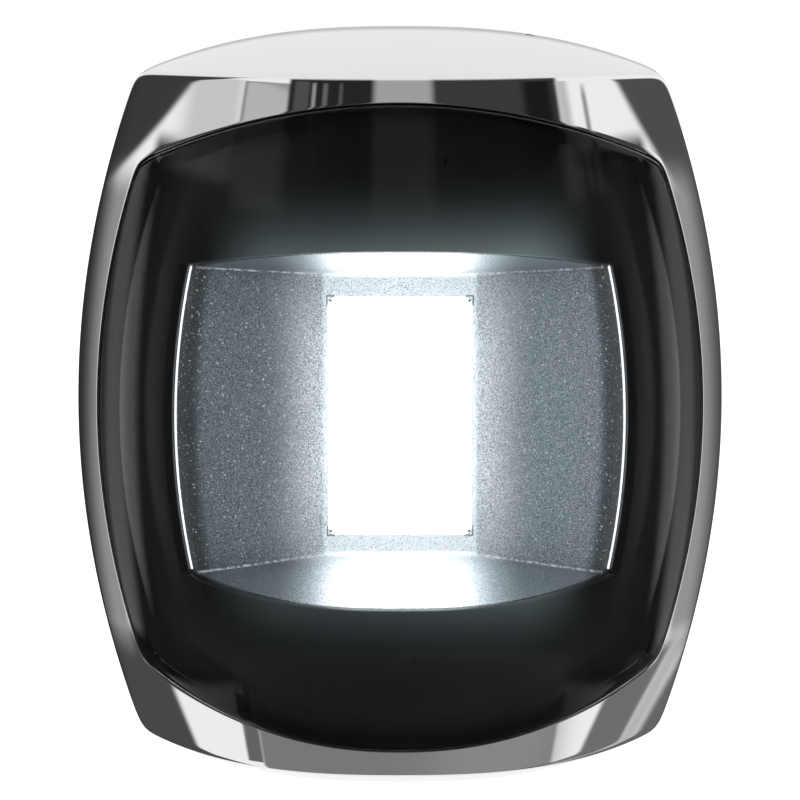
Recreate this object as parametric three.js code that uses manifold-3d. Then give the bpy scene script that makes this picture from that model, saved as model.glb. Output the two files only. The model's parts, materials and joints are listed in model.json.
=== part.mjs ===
// A compact LED stern light for small vessels, screwed to an upright face.
// Millimetres. +Z is up, the wall is the plane y = 0 and the light looks along -Y.
// "Depth" below is the distance forward from the wall, so a depth d lies at y = -d.
// "Inset" is how far a surface lies inside the outer skin of the polished cover.
import * as THREE from "three";
import { mergeVertices } from "three/addons/utils/BufferGeometryUtils.js";
import Module from "manifold-3d";

const wasm = await Module();
wasm.setup();

// ---------------------------------------------------------------- driving dimensions

const gap = 0.3; // between pieces that rest on or fit into each other

// The barrel-shaped outer form.
const bodyHalfWidth = 35.5; // at the wall, at mid-height
const bodyDepth = 38.0; // from the wall to the front of the cover's curve
const creaseHeight = 36.4; // from mid-height to the edge where wall and dome meet
const sideSag = 6.8; // how much narrower the body is at that edge, each side
const frontSag = 8.26; // how much shallower it is there
const sideDepth = 4.6; // the straight side next to the wall
const frontPower = 2.6; // 2 makes the front a parabola in plan, and more makes it squarer
const domeRise = 5.0; // height of the domed end over the edge, at the wall
const domePower = 2.5; // how squarely the dome runs out to its corners
const creaseRadius = 1.0;

// The cover and the window opening in it.
const coverWall = 1.2;
const coverSetBack = 0.3; // the rim stops this short of the wall
const openingHalfWidth = bodyHalfWidth - 2.7;
const openingHalfHeight = creaseHeight - 2.9;
const openingSideSag = 4.8;
const openingTopSag = 6.5;
const openingCornerX = bodyHalfWidth - 7.5; // where the two pairs of arcs meet
const openingCornerZ = creaseHeight - 9.4;
const openingCornerPower = 60; // a higher power makes a sharper corner
const releaseSlotX = 14.2;
const releaseSlotWidth = 0.9;
const releaseSlotBack = 2.6;
const releaseSlotFront = 4.4;

// The lens, its seal and the black mask behind it.
const lensProud = 0.6;
const lensThickness = 2.8;
const lensRim = 3.0; // width of the thick rim of the lens
const lensSealThickness = 0.5;
const lensFlangeThickness = 1.0;
const lensFlangeWidth = 1.7;
const maskWall = 1.0;
const maskMargin = 0.9; // how far the mask reaches past the opening
const windowBackDepth = 5.2; // nothing of the lens or its mask comes nearer the wall
const retainerX = openingCornerX - 9.0;
const retainerZ = creaseHeight - 2.1;
const retainerBossRadius = 1.7;
const retainerTabDepth = 10.9;
const retainerTabThickness = 1.4;
const retainerTabReach = 5.9; // from the screw in towards the middle

// The light chamber: 135 degrees of clear view from the diffuser.
const chamberBackDepth = 15.5;
const diffuserHalfWidth = 7.7;
const diffuserHalfHeight = 12.7;
const chamberBackHalfWidth = diffuserHalfWidth + 0.1;
const chamberBackHalfHeight = diffuserHalfHeight + 2.3;
const chamberSideAngle = 67.5; // of each side wall from straight ahead, in degrees
const chamberFlare = 0.204; // rise of the upper and lower walls per unit of depth
const chamberWall = 1.3;
const chamberReveal = 5.5; // moves the mask's side edges out, to show a strip of the flange
const chamberFlange = 0.8;

// The rest of the diffuser, and the LED board.
const diffuserThickness = 1.0;
const diffuserCorner = 0.9;
const boardHalfWidth = diffuserHalfWidth + 2.3;
const boardHalfHeight = diffuserHalfHeight + 1.3;
const boardThickness = 1.0;
const emitterColumns = 2;
const emitterRows = 3;
const emitterPitchX = 6.4;
const emitterPitchZ = 8.0;
const emitterWidth = 2.8;
const emitterHeight = 3.5;
const emitterThickness = 0.7;
const emitterTopDepth = 14.1;
const padThickness = 0.5;

// The heat sink.
const sinkHalfWidth = boardHalfWidth + 2.0;
const sinkHalfHeight = 24.5;
const sinkPlate = 2.0;
const finCount = 7;
const finThickness = 1.2;
const finPitch = 3.2;
const finHeight = 4.0;
const finHalfLength = 14.0;
const sinkScrewX = 8.5;
const sinkScrewZ = 21.5;
const reflectorScrewZ = 20.4;

// The base.
const baseThickness = 2.5;
const lipHeight = 8.8; // depth of the front edge of the base's lip
const lipWall = 1.6;
const lipStep = 1.5; // from the base's edge in to the lip
const wallHoleZ = creaseHeight - 6.4;
const wallHoleRadius = 2.2;
const wallHoleSinkRadius = 4.2;
const wallGasketInset = 4.3;
const wallGasketWidth = 2.4;
const wallGasketThickness = 1.0;
const inletRadius = 3.6; // of the cable's way through the grommet
const inletX = 15.5 - bodyHalfWidth;
const inletZ = -15.4 - inletRadius;
const grommetWall = 1.4;
const grommetFlange = 1.6;
const grommetLength = 4.6;

// The screws.
const postRadius = 2.9;
const smallScrew = { head: 2.3, headHeight: 1.3, shank: 1.2, length: 4.6 };
const tinyScrew = { head: 1.7, headHeight: 1.0, shank: 0.8, length: 3.2 };
const retainerScrew = { head: 1.6, headHeight: 0.9, shank: 0.75, length: 4.0 };
const lockScrewRadius = 1.5;
const lockScrewLength = 2.5;
const lockScrewDepth = 7.0;
const lockSocketRadius = 0.87;
const lockSocketDepth = 1.2;

// The terminal block.
const terminalX = 13.0 - bodyHalfWidth;
const terminalZ = 2.0;
const terminalWidth = 8.6;
const terminalHeight = 12.0;
const terminalDepth = 8.4;
const terminalPitch = 5.4;
const terminalScrewRadius = 1.5;
const terminalScrewLength = 3.6;

// The driver board and what stands on it.
const driverX = bodyHalfWidth - 14.3;
const driverHalfWidth = 6.4;
const driverHalfHeight = 11.0;
const driverThickness = 1.6;
const driverStandoff = 2.5;
const driverScrewZ = 9.0;
const inductorRadius = 3.1;
const inductorHeight = 4.2;
const capacitorRadius = 2.2;
const capacitorHeight = 5.4;
const rectifierSize = 4.4;
const rectifierHeight = 1.8;
const regulatorWidth = 4.0;
const regulatorHeight = 5.0;
const regulatorThickness = 1.4;

// The leads.
const supplyLeadRadius = 0.75;
const ledLeadRadius = 0.5;

// ---------------------------------------------------------------- places that follow

const coverInner = coverWall;
const lensSealInset = coverInner + gap;
const lensFlangeInset = lensSealInset + lensSealThickness + gap;
const lensBackInset = lensFlangeInset + lensFlangeThickness;
const maskInset = lensBackInset + gap;
const chamberFrontInset = maskInset + maskWall + gap;
const baseInset = coverInner + gap + 0.1;
const lipInset = baseInset + lipStep;
const chamberSideSlope = Math.tan(THREE.MathUtils.degToRad(chamberSideAngle));
const chamberPlateDepth = chamberBackDepth - chamberWall;
const boardTop = emitterTopDepth - emitterThickness - gap;
const boardBottom = boardTop - boardThickness;
const padBottom = boardBottom - gap - padThickness;
const sinkTop = padBottom - gap;
const sinkBottom = sinkTop - sinkPlate;
const postTop = sinkBottom - gap;
const driverBottom = baseThickness + driverStandoff + gap;
const driverTop = driverBottom + driverThickness;

// ---------------------------------------------------------------- solids and meshes

function solidOf(geometry) {
  geometry.deleteAttribute("normal");
  geometry.deleteAttribute("uv");
  const merged = mergeVertices(geometry, 1e-4);
  const mesh = new wasm.Mesh({
    numProp: 3,
    vertProperties: new Float32Array(merged.attributes.position.array),
    triVerts: new Uint32Array(merged.index.array),
  });
  return new wasm.Manifold(mesh);
}

function geometryOf(solid) {
  const mesh = solid.getMesh();
  const geometry = new THREE.BufferGeometry();
  geometry.setAttribute("position", new THREE.BufferAttribute(mesh.vertProperties, 3));
  geometry.setIndex(new THREE.BufferAttribute(mesh.triVerts, 1));
  geometry.computeVertexNormals();
  return geometry;
}

const joined = (first, ...others) => others.reduce((all, one) => all.add(one), first);

function finish(color, roughness, metalness = 0) {
  return { color, roughness, metalness };
}

const polishedSteel = finish(0xe4e6e8, 0.06, 1.0);
const clearPlastic = finish(0x9fa8ad, 0.05);
const blackGloss = finish(0x0c0d0f, 0.2);
const blackMoulding = finish(0x1c1d1f, 0.6);
const silverPaint = finish(0x8e979c, 0.45, 0.4);
const whiteDiffuser = finish(0xf7fbff, 0.4);
const blackRubber = finish(0x161616, 0.85);
const bareAluminium = finish(0xb4b7ba, 0.4, 1.0);
const screwSteel = finish(0xc2c5c8, 0.3, 1.0);
const greenBoard = finish(0x1f5a3a, 0.5);
const whiteBoard = finish(0xf1f1ec, 0.5);
const emitterYellow = finish(0xe9d36a, 0.35);
const greyPad = finish(0x9aa3ad, 0.8);
const blackChip = finish(0x17181a, 0.5);
const canAluminium = finish(0xc7cacd, 0.3, 0.9);
const terminalGreen = finish(0x2f7d4f, 0.5);
const redLead = finish(0xa8201c, 0.5);
const blackLead = finish(0x151515, 0.5);

function addPiece(group, name, solid, look) {
  const mesh = new THREE.Mesh(geometryOf(solid), new THREE.MeshStandardMaterial(look));
  mesh.name = name;
  group.add(mesh);
  return mesh;
}

// A block between two x, two depths and two z.
function block(x0, x1, depth0, depth1, z0, z1) {
  const box = new THREE.BoxGeometry(x1 - x0, depth1 - depth0, z1 - z0);
  box.translate((x0 + x1) / 2, -(depth0 + depth1) / 2, (z0 + z1) / 2);
  return solidOf(box);
}

// Everything between two depths.
const slab = (depth0, depth1) => block(-60, 60, depth0, depth1, -60, 60);

// A round bar that runs forward from one depth to another.
function bar(x, z, depth0, depth1, radius, sides = 24, backRadius = radius) {
  const round = new THREE.CylinderGeometry(backRadius, radius, depth1 - depth0, sides);
  round.translate(x, -(depth0 + depth1) / 2, z);
  return solidOf(round);
}

// A flat outline, drawn in x and z, between two depths.
function plate(outline, depth0, depth1) {
  const sheet = new THREE.ExtrudeGeometry(outline, {
    depth: depth1 - depth0,
    bevelEnabled: false,
    curveSegments: 6,
  });
  sheet.rotateX(Math.PI / 2);
  sheet.translate(0, -depth0, 0);
  return solidOf(sheet);
}

function roundedRectangle(halfWidth, halfHeight, radius) {
  const outline = new THREE.Shape();
  outline.moveTo(-halfWidth + radius, -halfHeight);
  outline.lineTo(halfWidth - radius, -halfHeight);
  outline.absarc(halfWidth - radius, -halfHeight + radius, radius, -Math.PI / 2, 0);
  outline.lineTo(halfWidth, halfHeight - radius);
  outline.absarc(halfWidth - radius, halfHeight - radius, radius, 0, Math.PI / 2);
  outline.lineTo(-halfWidth + radius, halfHeight);
  outline.absarc(-halfWidth + radius, halfHeight - radius, radius, Math.PI / 2, Math.PI);
  outline.lineTo(-halfWidth, -halfHeight + radius);
  outline.absarc(-halfWidth + radius, -halfHeight + radius, radius, Math.PI, 1.5 * Math.PI);
  return outline;
}

// ---------------------------------------------------------------- the barrel form

const halfWidthAt = (z) => bodyHalfWidth - sideSag * (z / creaseHeight) ** 2;
const frontDepthAt = (z) => bodyDepth - frontSag * (z / creaseHeight) ** 2;

// How finely the form is divided: across its front, up its side and along its depth.
const fine = { across: 18, up: 10, along: 4 };
const coarse = { across: 12, up: 8, along: 2 };

// The levels of the side wall, with its edges rounded off into the domes.
function wallLevels(top, steps) {
  const rounding = [0, 45, 90].map((degrees) => {
    const angle = THREE.MathUtils.degToRad(degrees);
    return {
      z: top - creaseRadius * (1 - Math.cos(angle)),
      trim: 0.5 * creaseRadius * (1 - Math.sin(angle)),
    };
  });
  const straight = top - creaseRadius;
  const levels = rounding.map(({ z, trim }) => ({ z: -z, trim }));
  for (let step = 1; step < steps; step++) {
    levels.push({ z: straight * ((2 * step) / steps - 1), trim: 0 });
  }
  return levels.concat(rounding.reverse());
}

// The whole barrel form at an inset, as one closed solid that starts `behind` the wall.
function barrel(inset, behind = 0, { across, up, along } = fine) {
  const top = creaseHeight - inset;
  const triangles = [];
  const face = (a, b, c) => triangles.push(...a, ...b, ...c);
  const quad = (a, b, c, d) => {
    face(a, b, c);
    face(a, c, d);
  };
  const station = (i) => Math.sin((Math.PI / 2) * ((2 * i) / across - 1));
  const sizeAt = ({ z, trim }) => ({
    width: halfWidthAt(z) - inset - trim,
    front: frontDepthAt(z) - inset - trim,
  });
  function depthAt(size, share) {
    return size.front - (size.front - sideDepth) * Math.abs(share) ** frontPower;
  }

  function ring(level) {
    const size = sizeAt(level);
    const points = [];
    for (let j = 0; j < along; j++) {
      points.push([-size.width, behind - ((sideDepth + behind) * j) / along, level.z]);
    }
    for (let i = 0; i <= across; i++) {
      const share = station(i);
      points.push([size.width * share, -depthAt(size, share), level.z]);
    }
    for (let j = along - 1; j >= 0; j--) {
      points.push([size.width, behind - ((sideDepth + behind) * j) / along, level.z]);
    }
    return points;
  }

  function domePoint(i, j, sign) {
    const size = sizeAt({ z: top, trim: 0.5 * creaseRadius });
    const share = station(i);
    const front = depthAt(size, share);
    const depth = -behind + ((front + behind) * j) / along;
    const rise = domeRise * (1 - Math.abs(share) ** domePower);
    const fall = 1 - (Math.max(depth, 0) / front) ** 2;
    return [size.width * share, -depth, sign * (top + rise * fall)];
  }

  const rings = wallLevels(top, up).map(ring);
  for (let k = 0; k + 1 < rings.length; k++) {
    const low = rings[k];
    const high = rings[k + 1];
    const last = low.length - 1;
    for (let i = 0; i < last; i++) {
      quad(low[i], low[i + 1], high[i + 1], high[i]);
    }
    quad(low[last], low[0], high[0], high[last]);
  }
  for (const sign of [1, -1]) {
    const turned = (a, b, c, d) => (sign > 0 ? quad(a, b, c, d) : quad(d, c, b, a));
    for (let i = 0; i < across; i++) {
      for (let j = 0; j < along; j++) {
        const corners = [[i, j], [i, j + 1], [i + 1, j + 1], [i + 1, j]];
        turned(...corners.map(([a, b]) => domePoint(a, b, sign)));
      }
    }
    const end = domePoint(0, 0, sign);
    for (let i = 1; i < across; i++) {
      const fan = [end, domePoint(i, 0, sign), domePoint(i + 1, 0, sign)];
      face(...(sign > 0 ? fan : fan.reverse()));
    }
  }
  const geometry = new THREE.BufferGeometry();
  geometry.setAttribute("position", new THREE.Float32BufferAttribute(triangles, 3));
  return solidOf(geometry);
}

// The layer of the form between two insets.
function layer(outerInset, innerInset, divisions = fine) {
  return barrel(outerInset, 0, divisions).subtract(barrel(innerInset, 2, divisions));
}

// ---------------------------------------------------------------- the opening

// Two pairs of shallow arcs that meet in softly rounded corners, grown by `margin`.
function openingOutline(margin) {
  const within = (x, z) => {
    const side = openingHalfWidth + margin - openingSideSag * (z / openingCornerZ) ** 2;
    const end = openingHalfHeight + margin - openingTopSag * (x / openingCornerX) ** 2;
    return (
      side > 0 &&
      end > 0 &&
      (Math.abs(x) / side) ** openingCornerPower + (Math.abs(z) / end) ** openingCornerPower < 1
    );
  };
  const points = [];
  const count = 64;
  for (let i = 0; i < count; i++) {
    const angle = (2 * Math.PI * i) / count;
    const direction = new THREE.Vector2(Math.cos(angle), Math.sin(angle));
    let near = 0;
    let far = openingHalfWidth + openingHalfHeight;
    for (let halving = 0; halving < 30; halving++) {
      const middle = (near + far) / 2;
      const inside = within(direction.x * middle, direction.y * middle);
      near = inside ? middle : near;
      far = inside ? far : middle;
    }
    points.push(direction.multiplyScalar(near));
  }
  return new THREE.Shape(points);
}

// The opening as a prism that runs forward from near the wall.
function openingPrism(margin, back = windowBackDepth) {
  return plate(openingOutline(margin), back, bodyDepth + 10);
}

// ---------------------------------------------------------------- screws

// A pan-head screw with a cross recess, its head's underside at the depth `seat`.
function panScrew(x, z, seat, size) {
  const head = bar(x, z, seat, seat + size.headHeight, size.head, 16);
  const shank = bar(x, z, seat - size.length, seat + 0.1, size.shank, 10);
  const top = seat + size.headHeight;
  const floor = top - 0.55 * size.headHeight;
  const arm = 0.6 * size.head;
  const slot = 0.16 * size.head;
  const cross = joined(
    block(x - arm, x + arm, floor, top + 1, z - slot, z + slot),
    block(x - slot, x + slot, floor, top + 1, z - arm, z + arm),
  );
  return head.add(shank).subtract(cross);
}

const screwHole = (x, z, depth0, depth1, size) =>
  bar(x, z, depth0, depth1, size.shank + gap, 12);

// ---------------------------------------------------------------- the cover group

function coverDomeHeight(depth, inset) {
  const size = frontDepthAt(creaseHeight - inset) - inset;
  return creaseHeight - inset + domeRise * (1 - (depth / size) ** 2);
}

const retainerPlaces = [
  [-retainerX, retainerZ],
  [retainerX, retainerZ],
  [-retainerX, -retainerZ],
  [retainerX, -retainerZ],
];
const tabFront = retainerTabDepth + retainerTabThickness;

function makeHousingCover() {
  let cover = layer(0, coverInner).subtract(slab(-5, coverSetBack));
  const bosses = retainerPlaces.map(([x, z]) =>
    bar(x, z, tabFront + gap, bodyDepth, retainerBossRadius, 16).intersect(barrel(0.6)),
  );
  cover = joined(cover, ...bosses).subtract(openingPrism(0));
  for (const [x, z] of retainerPlaces) {
    cover = cover.subtract(screwHole(x, z, tabFront - 1, tabFront + 3, retainerScrew));
  }
  const slotLeft = releaseSlotX - releaseSlotWidth / 2;
  const slotRight = releaseSlotX + releaseSlotWidth / 2;
  const slotTop = creaseHeight + 2 * domeRise;
  cover = cover.subtract(
    block(slotLeft, slotRight, releaseSlotBack, releaseSlotFront, creaseHeight, slotTop),
  );
  return cover.subtract(lockScrewBar(lockScrewRadius + gap, -10, 10));
}

// An upright bar on the lock screw's axis, in the underside of the cover.
function lockScrewBar(radius, below, above) {
  const outside = -coverDomeHeight(lockScrewDepth, 0);
  const round = new THREE.CylinderGeometry(radius, radius, above - below, 20);
  round.rotateX(Math.PI / 2);
  round.translate(0, -lockScrewDepth, outside + (above + below) / 2);
  return solidOf(round);
}

function makeLockScrew() {
  const recess = 0.35;
  const socket = new THREE.CylinderGeometry(lockSocketRadius, lockSocketRadius, 6, 6);
  socket.rotateX(Math.PI / 2);
  const outside = -coverDomeHeight(lockScrewDepth, 0) + recess;
  socket.translate(0, -lockScrewDepth, outside + lockSocketDepth - 3);
  return lockScrewBar(lockScrewRadius, recess, recess + lockScrewLength).subtract(
    solidOf(socket),
  );
}

function makeLens() {
  const window = barrel(-lensProud).intersect(openingPrism(-gap));
  const flange = barrel(lensFlangeInset).intersect(openingPrism(lensFlangeWidth));
  const pocket = barrel(lensThickness - lensProud, 2).intersect(openingPrism(-lensRim));
  return window.add(flange).subtract(barrel(lensBackInset, 2)).subtract(pocket);
}

function makeLensSeal() {
  const ring = openingPrism(lensFlangeWidth).subtract(openingPrism(gap));
  return layer(lensSealInset, lensSealInset + lensSealThickness).intersect(ring);
}

function makeMask() {
  let mask = layer(maskInset, maskInset + maskWall).intersect(openingPrism(maskMargin));
  for (const [x, z] of retainerPlaces) {
    const low = Math.abs(z) - retainerTabReach;
    const high = Math.abs(z) + retainerBossRadius;
    const side = Math.sign(z);
    const span = (from, to) => (side > 0 ? [from, to] : [-to, -from]);
    const half = retainerBossRadius + 0.2;
    const tab = block(x - half, x + half, retainerTabDepth, tabFront, ...span(low, high));
    const web = block(x - half, x + half, retainerTabDepth, bodyDepth, ...span(low, low + 1.8));
    const ear = tab.intersect(barrel(coverInner + gap + 0.4));
    mask = joined(mask, ear, web.intersect(barrel(maskInset + 0.2)));
  }
  mask = mask.subtract(chamberVoid(chamberReveal));
  for (const [x, z] of retainerPlaces) {
    mask = mask.subtract(screwHole(x, z, retainerTabDepth - 1, tabFront + 1, retainerScrew));
  }
  return mask;
}

// A retaining screw enters from behind, so it is a pan screw turned to face the wall.
function makeRetainerScrew(x, z) {
  const turned = panScrew(0, 0, 0, retainerScrew).rotate([180, 0, 0]);
  return turned.translate([x, -(retainerTabDepth - gap), z]);
}

// ---------------------------------------------------------------- the light chamber

// A frustum that widens forward. Half sizes are given at its back depth.
function frustum(back, front, halfWidth, halfHeight) {
  const geometry = new THREE.BoxGeometry(2, 2, 2);
  const position = geometry.attributes.position;
  for (let i = 0; i < position.count; i++) {
    const depth = position.getY(i) > 0 ? back : front;
    const reach = depth - back;
    const x = position.getX(i) * (halfWidth + chamberSideSlope * reach);
    const z = position.getZ(i) * (halfHeight + chamberFlare * reach);
    position.setXYZ(i, x, -depth, z);
  }
  return solidOf(geometry);
}

// The clear space in front of the diffuser, with its side walls moved out by `widening`.
function chamberVoid(widening = 0) {
  const front = bodyDepth + 4;
  const halfWidth = chamberBackHalfWidth + widening;
  return frustum(chamberBackDepth, front, halfWidth, chamberBackHalfHeight);
}

function makeReflector() {
  const halfHeight = chamberBackHalfHeight + chamberWall - chamberFlare * chamberWall;
  const outer = frustum(chamberPlateDepth, bodyDepth, chamberBackHalfWidth, halfHeight);
  const flange = layer(chamberFrontInset, chamberFrontInset + chamberFlange)
    .intersect(chamberVoid(1.6 * chamberReveal));
  let reflector = outer.intersect(barrel(chamberFrontInset)).add(flange).subtract(chamberVoid());
  const light = roundedRectangle(diffuserHalfWidth - 1, diffuserHalfHeight - 1, diffuserCorner);
  reflector = reflector.subtract(plate(light, 0, bodyDepth));
  const tabBottom = sinkTop + gap;
  const tabTop = tabBottom + chamberWall;
  const tabHalf = smallScrew.head + 0.8;
  for (const side of [1, -1]) {
    const span = (from, to) => (side > 0 ? [from, to] : [-to, -from]);
    const legFrom = chamberBackHalfHeight + 0.2;
    const legTo = legFrom + chamberWall;
    const leg = block(-tabHalf, tabHalf, tabBottom, chamberBackDepth, ...span(legFrom, legTo));
    const foot = span(legFrom, reflectorScrewZ + tabHalf - 0.6);
    const tab = block(-tabHalf, tabHalf, tabBottom, tabTop, ...foot);
    reflector = joined(reflector, leg, tab);
    reflector = reflector.subtract(
      screwHole(0, side * reflectorScrewZ, tabBottom - 1, tabTop + 1, smallScrew),
    );
  }
  return reflector;
}

function makeDiffuser() {
  const back = chamberBackDepth + gap;
  const outline = roundedRectangle(diffuserHalfWidth, diffuserHalfHeight, diffuserCorner);
  return plate(outline, back, back + diffuserThickness);
}

// ---------------------------------------------------------------- LED board and heat sink

const sinkScrewPlaces = [
  [-sinkScrewX, sinkScrewZ],
  [sinkScrewX, sinkScrewZ],
  [-sinkScrewX, -sinkScrewZ],
  [sinkScrewX, -sinkScrewZ],
];

// A flat block centred on the light's axis.
function flatBlock(halfWidth, halfHeight, depth0, depth1) {
  return block(-halfWidth, halfWidth, depth0, depth1, -halfHeight, halfHeight);
}

function makeHeatSink() {
  let sink = flatBlock(sinkHalfWidth, sinkHalfHeight, sinkBottom, sinkTop);
  for (let i = 0; i < finCount; i++) {
    const x = (i - (finCount - 1) / 2) * finPitch;
    const half = finThickness / 2;
    const back = sinkBottom - finHeight;
    const fin = block(x - half, x + half, back, sinkBottom + 0.5, -finHalfLength, finHalfLength);
    sink = sink.add(fin);
  }
  for (const [x, z] of sinkScrewPlaces) {
    sink = sink.subtract(screwHole(x, z, sinkBottom - 1, sinkTop + 1, smallScrew));
  }
  for (const z of [reflectorScrewZ, -reflectorScrewZ]) {
    sink = sink.subtract(screwHole(0, z, sinkBottom - 1, sinkTop + 1, smallScrew));
  }
  return sink;
}

function makeEmitter(column, row) {
  const x = (column - (emitterColumns - 1) / 2) * emitterPitchX;
  const z = (row - (emitterRows - 1) / 2) * emitterPitchZ;
  const bottom = boardTop + gap;
  const body = block(
    x - emitterWidth / 2,
    x + emitterWidth / 2,
    bottom,
    emitterTopDepth,
    z - emitterHeight / 2,
    z + emitterHeight / 2,
  );
  const well = bar(x, z, emitterTopDepth - 0.25, emitterTopDepth + 1, 0.42 * emitterWidth, 10);
  return body.subtract(well);
}

// ---------------------------------------------------------------- the base

const driverScrewPlaces = [
  [driverX, driverScrewZ],
  [driverX, -driverScrewZ],
];

function makeBase() {
  const flange = barrel(baseInset, 0, coarse).intersect(slab(0, baseThickness));
  const lip = layer(lipInset, lipInset + lipWall, coarse)
    .intersect(slab(baseThickness - 0.5, lipHeight))
    .subtract(openingPrism(lensFlangeWidth + 2 * gap, windowBackDepth - 2 * gap));
  let base = flange.add(lip);
  for (const [x, z] of sinkScrewPlaces) {
    base = base.add(bar(x, z, baseThickness - 0.5, postTop, postRadius));
    base = base.subtract(screwHole(x, z, baseThickness - 0.5, postTop + 1, smallScrew));
  }
  for (const [x, z] of driverScrewPlaces) {
    const top = driverBottom - gap;
    base = base.add(bar(x, z, baseThickness - 0.5, top, tinyScrew.head, 20));
    base = base.subtract(screwHole(x, z, baseThickness - 0.5, top + 1, tinyScrew));
  }
  for (const z of [wallHoleZ, -wallHoleZ]) {
    const sinkFront = baseThickness + 0.6;
    const sinkBack = sinkFront - (wallHoleSinkRadius - wallHoleRadius);
    base = base.subtract(bar(0, z, -1, baseThickness + 1, wallHoleRadius));
    base = base.subtract(
      bar(0, z, sinkBack, sinkFront, wallHoleSinkRadius, 24, wallHoleRadius),
    );
  }
  const hole = inletRadius + grommetWall + gap;
  base = base.subtract(bar(inletX, inletZ, -1, baseThickness + 1, hole, 28));
  const groove = barrel(wallGasketInset - gap, 2, coarse)
    .subtract(barrel(wallGasketInset + wallGasketWidth + gap, 4, coarse))
    .intersect(slab(-1, wallGasketThickness + gap));
  return base.subtract(groove);
}

function makeWallGasket() {
  return layer(wallGasketInset, wallGasketInset + wallGasketWidth, coarse).intersect(
    slab(0, wallGasketThickness),
  );
}

function makeCoverSeal() {
  return layer(coverInner + gap, lipInset - gap, coarse).intersect(
    slab(baseThickness + gap, sideDepth),
  );
}

function makeGrommet() {
  const sleeve = inletRadius + grommetWall;
  const flangeBack = baseThickness + gap;
  const profile = [
    [inletRadius, gap],
    [sleeve, gap],
    [sleeve, flangeBack],
    [sleeve + grommetFlange, flangeBack],
    [sleeve + grommetFlange, flangeBack + 0.9],
    [sleeve, flangeBack + 1.3],
    [sleeve - 0.3, grommetLength],
    [inletRadius, grommetLength],
    [inletRadius, gap],
  ].map(([radius, depth]) => new THREE.Vector2(radius, -depth));
  const turned = new THREE.LatheGeometry(profile.reverse(), 28);
  turned.translate(inletX, 0, inletZ);
  return solidOf(turned);
}

// ---------------------------------------------------------------- wiring and driver

const terminalBack = baseThickness + gap;
const terminalFront = terminalBack + terminalDepth;
const terminalWays = [
  ["supply", terminalZ + terminalPitch / 2],
  ["return", terminalZ - terminalPitch / 2],
];

function makeTerminalBlock() {
  const left = terminalX - terminalWidth / 2;
  const right = terminalX + terminalWidth / 2;
  const low = terminalZ - terminalHeight / 2;
  let body = block(left, right, terminalBack, terminalFront, low, low + terminalHeight);
  for (const [, z] of terminalWays) {
    const screwWell = terminalFront - terminalScrewLength - 2 * gap;
    body = body.subtract(
      bar(terminalX, z, screwWell, terminalFront + 1, terminalScrewRadius + gap, 20),
    );
    body = body.subtract(
      block(left - 1, left + 5, terminalBack + 1, terminalBack + 3.2, z - 1.3, z + 1.3),
    );
  }
  return body;
}

function makeTerminalScrew(z) {
  const front = terminalFront - gap;
  const slot = block(terminalX - 3, terminalX + 3, front - 0.8, front + 1, z - 0.25, z + 0.25);
  return bar(terminalX, z, front - terminalScrewLength, front, terminalScrewRadius, 20).subtract(
    slot,
  );
}

function makeDriverBoard() {
  let board = block(
    driverX - driverHalfWidth,
    driverX + driverHalfWidth,
    driverBottom,
    driverTop,
    -driverHalfHeight,
    driverHalfHeight,
  );
  for (const [x, z] of driverScrewPlaces) {
    board = board.subtract(screwHole(x, z, driverBottom - 1, driverTop + 1, tinyScrew));
  }
  return board;
}

function makeInductor() {
  const foot = driverTop + gap;
  const top = foot + inductorHeight;
  const profile = [
    [0, foot],
    [inductorRadius, foot],
    [inductorRadius, foot + 0.9],
    [inductorRadius - 0.7, foot + 1.2],
    [inductorRadius - 0.7, top - 1.2],
    [inductorRadius, top - 0.9],
    [inductorRadius, top],
    [0, top],
  ].map(([radius, depth]) => new THREE.Vector2(radius, -depth));
  const turned = new THREE.LatheGeometry(profile.reverse(), 20);
  turned.translate(driverX - 2.6, 0, -2.8);
  return solidOf(turned);
}

function makeCapacitor() {
  const foot = driverTop + gap;
  const top = foot + capacitorHeight;
  const profile = [
    [0, foot],
    [capacitorRadius, foot],
    [capacitorRadius, foot + 0.8],
    [capacitorRadius - 0.2, foot + 1.1],
    [capacitorRadius, foot + 1.4],
    [capacitorRadius, top - 0.3],
    [capacitorRadius - 0.3, top],
    [0, top],
  ].map(([radius, depth]) => new THREE.Vector2(radius, -depth));
  const turned = new THREE.LatheGeometry(profile.reverse(), 20);
  turned.translate(driverX - 3.4, 0, 3.6);
  return solidOf(turned);
}

function chip(x, z, width, height, thickness) {
  const foot = driverTop + gap;
  const half = width / 2;
  return block(x - half, x + half, foot, foot + thickness, z - height / 2, z + height / 2);
}

// A round lead that follows a smooth curve through points given as x, depth and z.
function lead(points, radius, steps) {
  const path = new THREE.CatmullRomCurve3(
    points.map(([x, depth, z]) => new THREE.Vector3(x, -depth, z)),
  );
  const section = new THREE.Shape();
  section.absarc(0, 0, radius, 0, 2 * Math.PI);
  const tube = new THREE.ExtrudeGeometry(section, {
    extrudePath: path,
    steps,
    curveSegments: 4,
    bevelEnabled: false,
  });
  return solidOf(tube);
}

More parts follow.
